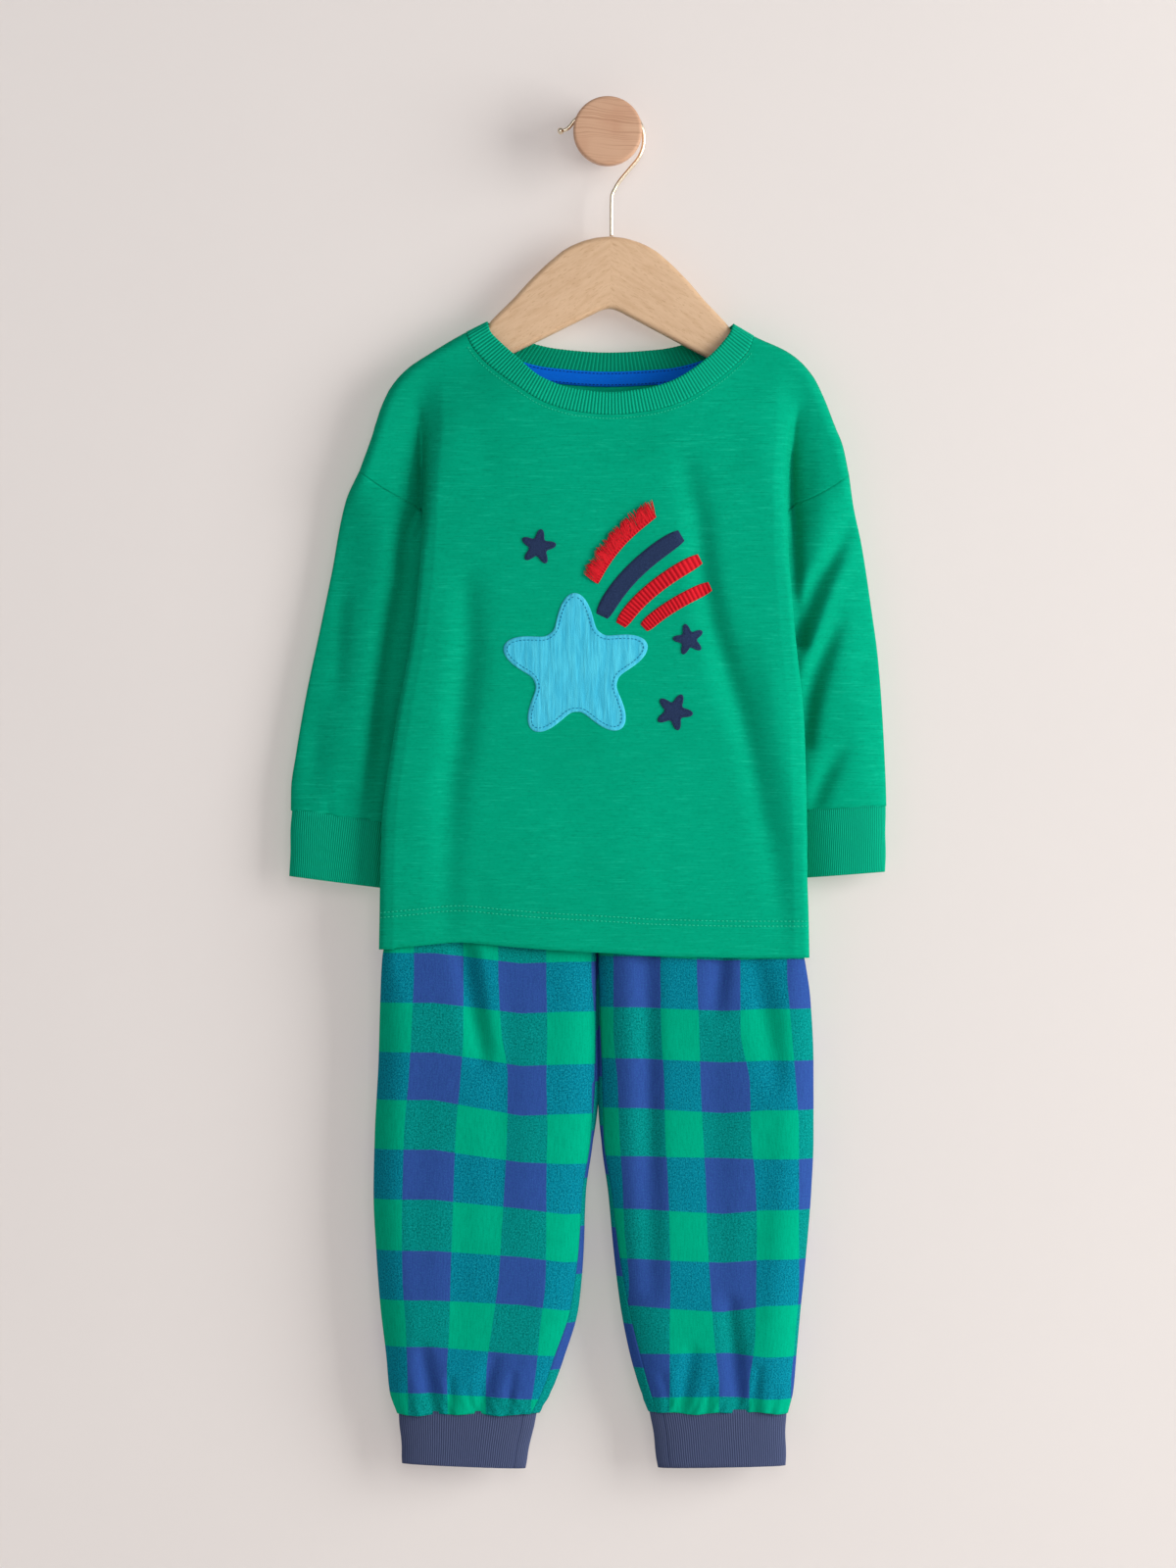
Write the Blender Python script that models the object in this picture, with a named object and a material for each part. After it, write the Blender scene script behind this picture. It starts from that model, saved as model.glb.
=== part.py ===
# A child's pyjama set on a hanger: a long-sleeved jersey top over check flannel trousers, with the
# hanger's wire hook on a round wooden wall peg. Metres, +Z up. The origin is the centre of the peg's
# back face, the wall is the plane y = 0, and the set faces -Y.

import math
from collections import namedtuple

import bmesh
import bpy
import numpy as np
from mathutils import Vector
from mathutils.bvhtree import BVHTree

# cloth
JERSEY = 0.0012
FLANNEL = 0.0014
RIB_WALL = 0.0013
RIB_RISE = 0.0006
PATCH = 0.0010
SEAM_GAP = 0.0003
PATCH_GAP = 0.0004

# where the set hangs
RIDGE_Y = -0.0200  # the shoulder seams, the hanger and the hook lie in this plane
NEAR_FRONT_Y = -0.0288  # front and back of the top where they leave the hanger
NEAR_BACK_Y = -0.0090
CURL = 0.0085  # height over which the cloth rounds the hanger
CURL_POWER = 2.6
FULL_DEPTH_BELOW = 0.060  # distance below the shoulder where the front has its whole depth

# the top, in sections from hem to neck: the fold line down each side, how far the side seam is
# wrapped behind it, the front's depth beside the fold lines, its crown between them, and the back
TopSection = namedtuple("TopSection", "z left right wrap front crown back")
TOP = (
    TopSection(z=-0.576, left=-0.1588, right=0.14, wrap=0.1, front=-0.0432, crown=0.0036, back=-0.007),
    TopSection(z=-0.545, left=-0.1582, right=0.1394, wrap=0.3, front=-0.043, crown=0.0036, back=-0.007),
    TopSection(z=-0.515, left=-0.1578, right=0.1385, wrap=0.5, front=-0.0425, crown=0.0036, back=-0.0066),
    TopSection(z=-0.48, left=-0.1567, right=0.1382, wrap=0.6, front=-0.0422, crown=0.0036, back=-0.0064),
    TopSection(z=-0.4165, left=-0.1482, right=0.1367, wrap=0.75, front=-0.042, crown=0.0036, back=-0.0064),
    TopSection(z=-0.335, left=-0.134, right=0.129, wrap=0.95, front=-0.0418, crown=0.0034, back=-0.0068),
    TopSection(z=-0.285, left=-0.1292, right=0.1256, wrap=1.00, front=-0.0412, crown=0.003, back=-0.0074),
    TopSection(z=-0.2363, left=-0.1272, right=0.1251, wrap=1.00, front=-0.04, crown=0.0026, back=-0.008),
    TopSection(z=-0.198, left=-0.124, right=0.127, wrap=1.00, front=-0.0385, crown=0.0018, back=-0.0086),
    TopSection(z=-0.13, left=-0.1236, right=0.127, wrap=1.00, front=-0.036, crown=0.001, back=-0.009),
)
UNDERARM_Z = -0.2850
FOLD_TOP_Z = -0.1960  # the fold beside the body dies out here
FOLD_OPEN = 0.0220  # share of the body's side over which the flat cloth falls back to the sleeve

# columns of the front from beside the fold line to the side seam, and on under the fold: how far
# outside the line where the cloth is spread, how far inside it and behind the front where folded
SideColumn = namedtuple("SideColumn", "spread fold drop")
SIDE = (
    SideColumn(spread=-0.0100, fold=0.0100, drop=0.0000),
    SideColumn(spread=-0.0045, fold=0.0030, drop=0.0014),
    SideColumn(spread=-0.0005, fold=0.0002, drop=0.0048),
    SideColumn(spread=0.0022, fold=0.0020, drop=0.0078),
    SideColumn(spread=0.0050, fold=0.0080, drop=0.0098),
    SideColumn(spread=0.0080, fold=0.0140, drop=0.0106),
)
UNDER = (
    SideColumn(spread=0.0108, fold=0.0092, drop=0.0136),
    SideColumn(spread=0.0145, fold=-0.0025, drop=0.0150),
)
WING_STEPS = (0.22, 0.43, 0.62, 0.78, 0.90, 1.00)  # the rest of the way out to the armhole's tip
WING_Y = -0.0272  # front of the cloth between the fold and the armhole
UNDER_FOOT = {-1: -0.2580, 1: -0.2570}  # height where the armhole seam goes under the fold
UNDER_MIDDLE = 0.50  # and the column between there and the underarm
COLLAR_Z = -0.1500  # height at which the widths of the shoulder are read
HEM_Z = -0.5700  # and those of the hem

# the back
BACK_DRAW = 0.0260  # distance over which the back is drawn forward to the side seam
BACK_DRAW_ABOVE = 0.0450  # how far above the underarm that goes on
UNDERARM_EASE = 0.0009  # room where four pieces meet under the arm
BACK_INSET = 0.0340  # from the side seam to the column under the neck corner
BACK_SIDE = (0.0, 0.003, 0.010, 0.022)  # columns of the back, inward from the seam

# outlines, measured outward from the middle plane on each side
Point = namedtuple("Point", "out z")
SHOULDER = {
    -1: (
        Point(0.0836, -0.1302), Point(0.0986, -0.1377), Point(0.1217, -0.1513), Point(0.1401, -0.1639),
        Point(0.1510, -0.1765), Point(0.1578, -0.1907), Point(0.1638, -0.2098), Point(0.1727, -0.2343),
    ),
    1: (
        Point(0.0874, -0.1318), Point(0.1020, -0.1404), Point(0.1282, -0.1533), Point(0.1428, -0.1683),
        Point(0.1510, -0.1846), Point(0.1584, -0.2037), Point(0.1634, -0.2159), Point(0.1680, -0.2370),
    ),
}
ARMHOLE_SAG = 0.0020  # the armhole seam's curve below a straight line

# neckline, seam edge and free edge of the rib, left to right
NeckPoint = namedtuple("NeckPoint", "x z")
NECK_SEAM_FRONT = (
    NeckPoint(-0.0986, -0.1377), NeckPoint(-0.0962, -0.1446), NeckPoint(-0.0900, -0.1538),
    NeckPoint(-0.0816, -0.1622), NeckPoint(-0.0632, -0.1758), NeckPoint(-0.0428, -0.1880),
    NeckPoint(-0.0211, -0.1941), NeckPoint(0.0020, -0.1962), NeckPoint(0.0260, -0.1941),
    NeckPoint(0.0476, -0.1887), NeckPoint(0.0707, -0.1758), NeckPoint(0.0898, -0.1601),
    NeckPoint(0.0985, -0.1500), NeckPoint(0.1020, -0.1404),
)
NECK_FREE_FRONT = (
    NeckPoint(-0.0836, -0.1302), NeckPoint(-0.0816, -0.1370), NeckPoint(-0.0745, -0.1450),
    NeckPoint(-0.0653, -0.1533), NeckPoint(-0.0449, -0.1703), NeckPoint(-0.0220, -0.1782),
    NeckPoint(0.0020, -0.1805), NeckPoint(0.0230, -0.1784), NeckPoint(0.0415, -0.1737),
    NeckPoint(0.0700, -0.1554), NeckPoint(0.0800, -0.1450), NeckPoint(0.0856, -0.1370),
    NeckPoint(0.0874, -0.1318),
)
NECK_SEAM_BACK = (
    NeckPoint(-0.0986, -0.1377), NeckPoint(-0.0900, -0.1447), NeckPoint(-0.0700, -0.1552),
    NeckPoint(-0.0400, -0.1628), NeckPoint(0.0000, -0.1655), NeckPoint(0.0400, -0.1636),
    NeckPoint(0.0720, -0.1560), NeckPoint(0.0930, -0.1468), NeckPoint(0.1020, -0.1404),
)
NECK_FREE_BACK = (
    NeckPoint(-0.0836, -0.1302), NeckPoint(-0.0760, -0.1352), NeckPoint(-0.0600, -0.1422),
    NeckPoint(-0.0350, -0.1484), NeckPoint(0.0000, -0.1510), NeckPoint(0.0350, -0.1490),
    NeckPoint(0.0620, -0.1430), NeckPoint(0.0790, -0.1366), NeckPoint(0.0874, -0.1318),
)
NECK_STEPS = 6  # columns from the middle of the front to its neck corner
BACK_NECK_STEPS = 4
NECK_RIBS_FRONT = 84
NECK_RIBS_BACK = 64
NECK_INNER_STEP = 4  # outer points for each inner one

# hem edge of the top, which swings a little
HEM = (
    NeckPoint(-0.1588, -0.5665), NeckPoint(-0.1319, -0.5640), NeckPoint(-0.1027, -0.5615),
    NeckPoint(-0.0728, -0.5640), NeckPoint(-0.0428, -0.5664), NeckPoint(0.0000, -0.5688),
    NeckPoint(0.0354, -0.5709), NeckPoint(0.1054, -0.5722), NeckPoint(0.1400, -0.5722),
)
ROWS_BELOW = (0.0, 0.06, 0.17, 0.31, 0.46, 0.61, 0.75, 0.88, 1.0)
ROWS_ABOVE = (0.0, 0.14, 0.29, 0.45, 0.60, 0.74, 0.86, 0.945, 0.985, 1.0)

# sleeves, from the armhole down to the cuff seam: outer edge, inner edge, front and back
SleeveSection = namedtuple("SleeveSection", "z outer inner slant front back")
SLEEVE = {
    -1: (
        SleeveSection(z=-0.2343, outer=0.1727, inner=0.1150, slant=-0.0400, front=-0.0272, back=-0.0090),
        SleeveSection(z=-0.2553, outer=0.1822, inner=0.1185, slant=-0.0340, front=-0.0278, back=-0.0066),
        SleeveSection(z=-0.3070, outer=0.1924, inner=0.1240, slant=-0.0200, front=-0.0282, back=-0.0052),
        SleeveSection(z=-0.3465, outer=0.2006, inner=0.1300, slant=-0.0150, front=-0.0282, back=-0.0048),
        SleeveSection(z=-0.3913, outer=0.2101, inner=0.1370, slant=-0.0120, front=-0.0280, back=-0.0048),
        SleeveSection(z=-0.4308, outer=0.2169, inner=0.1440, slant=-0.0100, front=-0.0276, back=-0.0050),
        SleeveSection(z=-0.4560, outer=0.2204, inner=0.1485, slant=-0.0092, front=-0.0270, back=-0.0052),
        SleeveSection(z=-0.4704, outer=0.2206, inner=0.1520, slant=-0.0088, front=-0.0262, back=-0.0056),
    ),
    1: (
        SleeveSection(z=-0.2370, outer=0.1680, inner=0.1110, slant=-0.0400, front=-0.0272, back=-0.0090),
        SleeveSection(z=-0.2574, outer=0.1709, inner=0.1140, slant=-0.0330, front=-0.0278, back=-0.0066),
        SleeveSection(z=-0.2853, outer=0.1768, inner=0.1160, slant=-0.0230, front=-0.0282, back=-0.0052),
        SleeveSection(z=-0.3274, outer=0.1833, inner=0.1190, slant=-0.0120, front=-0.0282, back=-0.0048),
        SleeveSection(z=-0.3655, outer=0.1884, inner=0.1230, slant=-0.0070, front=-0.0282, back=-0.0048),
        SleeveSection(z=-0.4111, outer=0.1918, inner=0.1270, slant=-0.0045, front=-0.0276, back=-0.0050),
        SleeveSection(z=-0.4532, outer=0.1938, inner=0.1310, slant=-0.0035, front=-0.0270, back=-0.0052),
        SleeveSection(z=-0.4672, outer=0.1942, inner=0.1335, slant=-0.0032, front=-0.0262, back=-0.0056),
    ),
}
SLEEVE_STEPS = 8
SLEEVE_POWER = 2.6

# ribbed cuffs: outline at the seam and at the free edge
CuffEnd = namedtuple("CuffEnd", "z outer inner slant front back")
WRIST = {
    -1: (
        CuffEnd(z=-0.4709, outer=0.2204, inner=0.1522, slant=-0.0088, front=-0.0258, back=-0.0060),
        CuffEnd(z=-0.5160, outer=0.2208, inner=0.1530, slant=-0.0088, front=-0.0258, back=-0.0060),
    ),
    1: (
        CuffEnd(z=-0.4677, outer=0.1938, inner=0.1337, slant=-0.0032, front=-0.0258, back=-0.0060),
        CuffEnd(z=-0.5130, outer=0.1930, inner=0.1342, slant=-0.0044, front=-0.0258, back=-0.0060),
    ),
}
WRIST_RIBS = 60
ANKLE = {
    -1: (
        CuffEnd(z=-0.8890, outer=0.1452, inner=0.0488, slant=0.0000, front=-0.0352, back=-0.0150),
        CuffEnd(z=-0.9235, outer=0.1424, inner=0.0574, slant=-0.0035, front=-0.0350, back=-0.0152),
    ),
    1: (
        CuffEnd(z=-0.8880, outer=0.1240, inner=0.0292, slant=0.0000, front=-0.0352, back=-0.0150),
        CuffEnd(z=-0.9250, outer=0.1236, inner=0.0350, slant=-0.0015, front=-0.0350, back=-0.0152),
    ),
}
ANKLE_RIBS = 64
CUFF_POWER = 2.4
CUFF_INNER_STEP = 4

# blue tape inside the back of the neck
TAPE_WIDTH = 0.0094
TAPE_LAP = 0.0010  # how far it covers the neck rib
TAPE_HALF = 0.0740
TAPE_STEPS = 14
TAB = {"x": 0.0367, "width": 0.0040, "drop": 0.0030}

# trouser legs, from the waist down. Out is measured from the set's middle plane at x = 0.
# rounded and turn_in are how far in from its two edges a leg rounds over, edge is the
# outseam's depth, and seam is how far the inseam has come round to the front, in degrees
LegWidth = namedtuple("LegWidth", "z outer inner")
LEG_WIDTH = {
    -1: (
        LegWidth(-0.3975, 0.1120, 0.0073), LegWidth(-0.4300, 0.1215, 0.0073),
        LegWidth(-0.4750, 0.1310, 0.0073), LegWidth(-0.5150, 0.1395, 0.0073),
        LegWidth(-0.5300, 0.1440, 0.0073), LegWidth(-0.5480, 0.1500, 0.0073),
        LegWidth(-0.5720, 0.1562, 0.0074), LegWidth(-0.6015, 0.1578, 0.0073),
        LegWidth(-0.6443, 0.1591, 0.0072), LegWidth(-0.6970, 0.1618, 0.0099),
        LegWidth(-0.7361, 0.1626, 0.0150), LegWidth(-0.7783, 0.1606, 0.0167),
        LegWidth(-0.8150, 0.1578, 0.0200), LegWidth(-0.8490, 0.1538, 0.0298),
        LegWidth(-0.8740, 0.1514, 0.0392), LegWidth(-0.8885, 0.1464, 0.0474),
    ),
    1: (
        LegWidth(-0.3975, 0.1060, -0.0070), LegWidth(-0.4300, 0.1110, -0.0070),
        LegWidth(-0.4750, 0.1180, -0.0070), LegWidth(-0.5150, 0.1235, -0.0070),
        LegWidth(-0.5300, 0.1275, -0.0070), LegWidth(-0.5480, 0.1320, -0.0070),
        LegWidth(-0.5720, 0.1364, -0.0069), LegWidth(-0.6015, 0.1408, -0.0062),
        LegWidth(-0.6443, 0.1430, -0.0052), LegWidth(-0.6970, 0.1431, -0.0044),
        LegWidth(-0.7361, 0.1414, 0.0004), LegWidth(-0.7783, 0.1380, 0.0044),
        LegWidth(-0.8150, 0.1343, 0.0090), LegWidth(-0.8490, 0.1312, 0.0158),
        LegWidth(-0.8740, 0.1289, 0.0232), LegWidth(-0.8885, 0.1254, 0.0280),
    ),
}
LegDepth = namedtuple("LegDepth", "z front back edge rounded turn_in seam")
LegSection = namedtuple("LegSection", "z outer inner front back edge rounded turn_in seam")
LEG_DEPTH = (
    LegDepth(z=-0.3975, front=-0.0350, back=-0.0100, edge=-0.0250, rounded=0.012, turn_in=0.002, seam=0),
    LegDepth(z=-0.4300, front=-0.0385, back=-0.0098, edge=-0.0320, rounded=0.024, turn_in=0.002, seam=0),
    LegDepth(z=-0.4750, front=-0.0388, back=-0.0096, edge=-0.0340, rounded=0.034, turn_in=0.003, seam=0),
    LegDepth(z=-0.5150, front=-0.0392, back=-0.0094, edge=-0.0344, rounded=0.036, turn_in=0.004, seam=0),
    LegDepth(z=-0.5300, front=-0.0394, back=-0.0094, edge=-0.0344, rounded=0.034, turn_in=0.010, seam=0),
    LegDepth(z=-0.5480, front=-0.0396, back=-0.0094, edge=-0.0342, rounded=0.030, turn_in=0.018, seam=6),
    LegDepth(z=-0.5720, front=-0.0402, back=-0.0092, edge=-0.0335, rounded=0.026, turn_in=0.024, seam=8),
    LegDepth(z=-0.6015, front=-0.0415, back=-0.0090, edge=-0.0290, rounded=0.024, turn_in=0.028, seam=10),
    LegDepth(z=-0.6443, front=-0.0420, back=-0.0088, edge=-0.0262, rounded=0.026, turn_in=0.032, seam=14),
    LegDepth(z=-0.6970, front=-0.0424, back=-0.0086, edge=-0.0255, rounded=0.028, turn_in=0.034, seam=18),
    LegDepth(z=-0.7361, front=-0.0424, back=-0.0084, edge=-0.0252, rounded=0.030, turn_in=0.034, seam=22),
    LegDepth(z=-0.7783, front=-0.0422, back=-0.0084, edge=-0.0250, rounded=0.030, turn_in=0.032, seam=28),
    LegDepth(z=-0.8150, front=-0.0418, back=-0.0088, edge=-0.0250, rounded=0.028, turn_in=0.030, seam=36),
    LegDepth(z=-0.8490, front=-0.0410, back=-0.0096, edge=-0.0250, rounded=0.026, turn_in=0.028, seam=42),
    LegDepth(z=-0.8740, front=-0.0394, back=-0.0110, edge=-0.0250, rounded=0.022, turn_in=0.024, seam=44),
    LegDepth(z=-0.8885, front=-0.0358, back=-0.0144, edge=-0.0250, rounded=0.018, turn_in=0.020, seam=46),
)
LEG_END = {-1: -0.8885, 1: -0.8875}  # the last row lies here
LEG_ROWS = (
    -0.3975, -0.4300, -0.4700, -0.5000, -0.5200, -0.5480, -0.5720, -0.6000, -0.6330, -0.6730,
    -0.7130, -0.7530, -0.7920, -0.8270, -0.8560, -0.8770, -0.8885,
)
CROTCH_Z = -0.5480
RISE_TOP_Z = -0.5000  # the rise seams start to turn under here
RISE_TURN = 0.0015  # depth of the turned edge along the straight part of the rise
LEG_ANGLES = (0, 24, 52, 90)  # across a quarter of the leg's round sides
FRONT_LEG_FLAT = 7
BACK_LEG_FLAT = 3

# largest creases, as soft troughs in the front of a piece: where each one starts and ends, its
# half width there and how deep it is
Crease = namedtuple("Crease", "x0 z0 x1 z1 width depth")
LEG_CREASES = (
    Crease(x0=-0.1000, z0=-0.5600, x1=-0.0850, z1=-0.6450, width=0.0110, depth=0.0042),
    Crease(x0=0.0340, z0=-0.5600, x1=0.0320, z1=-0.7900, width=0.0130, depth=0.0034),
    Crease(x0=0.0830, z0=-0.5650, x1=0.0760, z1=-0.6100, width=0.0090, depth=0.0034),
    Crease(x0=0.1050, z0=-0.5800, x1=0.1170, z1=-0.6550, width=0.0100, depth=0.0026),
    Crease(x0=-0.1250, z0=-0.8550, x1=-0.1310, z1=-0.8890, width=0.0080, depth=0.0036),
    Crease(x0=-0.0830, z0=-0.8500, x1=-0.0860, z1=-0.8890, width=0.0080, depth=0.0036),
    Crease(x0=0.0800, z0=-0.8480, x1=0.0840, z1=-0.8890, width=0.0080, depth=0.0036),
)
TOP_CREASES = (
    Crease(x0=0.0560, z0=-0.3000, x1=0.0700, z1=-0.5400, width=0.0160, depth=0.0016),
    Crease(x0=-0.0900, z0=-0.4200, x1=-0.1000, z1=-0.5600, width=0.0150, depth=0.0014),
    Crease(x0=0.1240, z0=-0.5000, x1=0.1300, z1=-0.5450, width=0.0080, depth=0.0012),
)

# waistband
WAIST_SIDES = {"outer": 0.1068, "inner": -0.1128, "front": -0.0356, "back": -0.0094}
WAIST_TOP_Z = -0.3700
WAIST_BOTTOM_Z = -0.3972
WAIST_WALL = 0.0025
WAIST_POINTS = 40
WAIST_POWER = 3.2

# hanger: half outline from its middle, out and down from the top of its arch
HANGER_CENTRE = (0.0020, -0.0711)
HANGER_TILT = -0.9  # degrees, right end lower
HANGER_THICK = 0.0110
HANGER_ROUND = 0.0035
HangerPoint = namedtuple("HangerPoint", "out down")
HANGER_TOP = (
    HangerPoint(0.0000, 0.0000), HangerPoint(0.0100, 0.0010), HangerPoint(0.0194, 0.0036),
    HangerPoint(0.0270, 0.0069), HangerPoint(0.0334, 0.0107), HangerPoint(0.0446, 0.0204),
    HangerPoint(0.0554, 0.0312), HangerPoint(0.0667, 0.0442), HangerPoint(0.0760, 0.0535),
    HangerPoint(0.0822, 0.0600), HangerPoint(0.0856, 0.0650), HangerPoint(0.0930, 0.0722),
    HangerPoint(0.1010, 0.0772), HangerPoint(0.1250, 0.0882), HangerPoint(0.1345, 0.0960),
    HangerPoint(0.1390, 0.1035), HangerPoint(0.1405, 0.1100), HangerPoint(0.1375, 0.1150),
)
HANGER_UNDER = (
    HangerPoint(0.1290, 0.1152), HangerPoint(0.1100, 0.1050), HangerPoint(0.0880, 0.0940),
    HangerPoint(0.0673, 0.0830), HangerPoint(0.0300, 0.0640), HangerPoint(0.0060, 0.0516),
)
HANGER_APEX = 0.0499

# hook wire
WIRE_R = 0.0014
HOOK = {"centre_x": 0.0003, "centre_z": -0.0033, "radius": 0.0250, "from": -36, "to": 138}
HOOK_BEND_STEPS = 22
WirePoint = namedtuple("WirePoint", "x z")
HOOK_STEM = (
    WirePoint(0.0027, -0.0708), WirePoint(0.0027, -0.0560), WirePoint(0.0029, -0.0440),
    WirePoint(0.0060, -0.0362),
)
HOOK_TAIL = (
    WirePoint(-0.0231, 0.0096), WirePoint(-0.0262, 0.0056), WirePoint(-0.0292, 0.0032),
    WirePoint(-0.0348, 0.0020),
)
CAP_RADIUS = 0.0024
CAP_START = 0.0037  # how far from the wire's end its rounded cap starts
HOOK_RINGS = 38
HOOK_SIDES = 6

# wall peg, turned: radius and distance from the wall
KnobPoint = namedtuple("KnobPoint", "r out")
KNOB = (
    KnobPoint(0.0200, 0.0000), KnobPoint(0.0200, 0.0300), KnobPoint(0.0208, 0.0316),
    KnobPoint(0.0228, 0.0322), KnobPoint(0.0238, 0.0332), KnobPoint(0.0238, 0.0446),
    KnobPoint(0.0232, 0.0456), KnobPoint(0.0218, 0.0460),
)
KNOB_SIDES = 36

# applique: a shooting star. The big star's tips, then the tail's bands as arcs of three points
STAR = {"x": -0.0220, "z": -0.3720, "tip": 0.0520, "valley": 0.0300, "turn": 91}
SMALL_STARS = (
    {"x": -0.0480, "z": -0.2880, "tip": 0.0125, "valley": 0.0066, "turn": 80},
    {"x": 0.0560, "z": -0.3520, "tip": 0.0110, "valley": 0.0058, "turn": 104},
    {"x": 0.0460, "z": -0.4020, "tip": 0.0130, "valley": 0.0068, "turn": 66},
)
STAR_POINTS = 8  # outline points for each tip
Band = namedtuple("Band", "x0 z0 x1 z1 x2 z2 width")
FRINGE_BAND = Band(x0=-0.0080, z0=-0.3130, x1=0.0040, z1=-0.2860, x2=0.0330, z2=-0.2660, width=0.0040)
FELT_BAND = Band(x0=-0.0040, z0=-0.3360, x1=0.0110, z1=-0.3040, x2=0.0510, z2=-0.2800, width=0.0120)
RIB_BANDS = (
    Band(x0=0.0090, z0=-0.3420, x1=0.0240, z1=-0.3170, x2=0.0640, z2=-0.2960, width=0.0100),
    Band(x0=0.0250, z0=-0.3440, x1=0.0400, z1=-0.3290, x2=0.0710, z2=-0.3150, width=0.0090),
)
BAND_STEPS = 10
STRANDS = 44
STRAND_LENGTH = 0.0095
STRAND_GAP_SHARE = 0.42
STRAND_LEAN = 0.21
STRAND_LEAN_SWING = 0.09

# colours
GREEN = (0.000, 0.362, 0.195)
RIB_GREEN = (0.000, 0.318, 0.170)
CHECK_GREEN = (0.005, 0.180, 0.230)
NAVY_RIB = (0.042, 0.060, 0.135)
BLUE = (0.008, 0.072, 0.540)
TURQUOISE = (0.092, 0.630, 0.820)
RED = (0.680, 0.012, 0.030)
NAVY = (0.016, 0.030, 0.080)
BEECH = (0.640, 0.420, 0.240)
PINE = (0.560, 0.310, 0.150)
BRASS = (0.780, 0.660, 0.500)


def smooth(knots, values, at):
    """Monotone cubic through the knots: it never swings past a value in the table."""
    order = np.argsort(knots)
    x = np.asarray(knots, float)[order]
    y = np.asarray(values, float)[order]
    at = np.clip(at, x[0], x[-1])
    step = np.diff(x)
    rise = np.diff(y) / step
    slope = np.empty_like(y)
    slope[0] = rise[0]
    slope[-1] = rise[-1]
    for i in range(1, len(x) - 1):
        if rise[i - 1] * rise[i] <= 0:
            slope[i] = 0.0
        else:
            first = 2 * step[i] + step[i - 1]
            second = step[i] + 2 * step[i - 1]
            slope[i] = (first + second) / (first / rise[i - 1] + second / rise[i])
    i = np.clip(np.searchsorted(x, at) - 1, 0, len(step) - 1)
    t = (at - x[i]) / step[i]
    return (
        y[i] * (1 + 2 * t) * (1 - t) ** 2
        + slope[i] * step[i] * t * (1 - t) ** 2
        + y[i + 1] * t * t * (3 - 2 * t)
        + slope[i + 1] * step[i] * t * t * (t - 1)
    )


def section(table, z):
    """A table's row at any height, read smoothly between its rows."""
    knots = [row.z for row in table]
    columns = {name: smooth(knots, [getattr(row, name) for row in table], z) for name in table[0]._fields}
    return type(table[0])(**columns)


def ease(t):
    """0 to 1, with level ends."""
    t = min(max(t, 0.0), 1.0)
    return t * t * (3 - 2 * t)


def mix(a, b, t):
    return a + (b - a) * t


def trough(creases, x, z):
    """How far the creases push the cloth back at a place on a front."""
    total = 0.0
    for crease in creases:
        run = np.array((crease.x1 - crease.x0, crease.z1 - crease.z0))
        off = np.array((x - crease.x0, z - crease.z0))
        along = float(off @ run) / float(run @ run)
        near = np.clip(along, 0.0, 1.0)
        away = math.hypot(*(off - near * run)) / crease.width
        fade = 0.35 + 0.65 * math.sin(math.pi * mix(0.15, 0.85, near))
        total += crease.depth * fade * math.exp(-away * away)
    return total


def distance_to(line, x, z):
    """Distance from a point to a line of points in the XZ plane."""
    best = 1.0
    for (ax, az), (bx, bz) in zip(line[:-1], line[1:]):
        run = np.array((bx - ax, bz - az))
        off = np.array((x - ax, z - az))
        near = np.clip(float(off @ run) / float(run @ run), 0.0, 1.0)
        best = min(best, math.hypot(*(off - near * run)))
    return best


def resample(points, count):
    """Equal steps along a line of points, ends included."""
    points = np.asarray(points, float)
    reach = np.concatenate([[0.0], np.cumsum(np.linalg.norm(np.diff(points, axis=0), axis=1))])
    steps = np.linspace(0.0, reach[-1], count)
    return np.stack([np.interp(steps, reach, points[:, i]) for i in range(points.shape[1])], axis=1)


def colour_material(name, colour, roughness, metallic=0.0):
    material = bpy.data.materials.new(name)
    material.use_nodes = True
    shader = material.node_tree.nodes["Principled BSDF"]
    shader.inputs["Base Color"].default_value = (*colour, 1.0)
    shader.inputs["Roughness"].default_value = roughness
    shader.inputs["Metallic"].default_value = metallic
    return material


def add_object(name, mesh, colour, roughness, metallic=0.0, smooth_angle=40):
    piece = bpy.data.objects.new(name, mesh)
    bpy.context.scene.collection.objects.link(piece)
    mesh.materials.append(colour_material(name, colour, roughness, metallic))
    if smooth_angle:
        mesh.shade_smooth()
        mesh.set_sharp_from_angle(angle=math.radians(smooth_angle))
    return piece


def mesh_from(name, points, faces):
    mesh = bpy.data.meshes.new(name)
    mesh.from_pydata([tuple(map(float, p)) for p in points], [], [tuple(map(int, f)) for f in faces])
    return mesh


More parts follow.
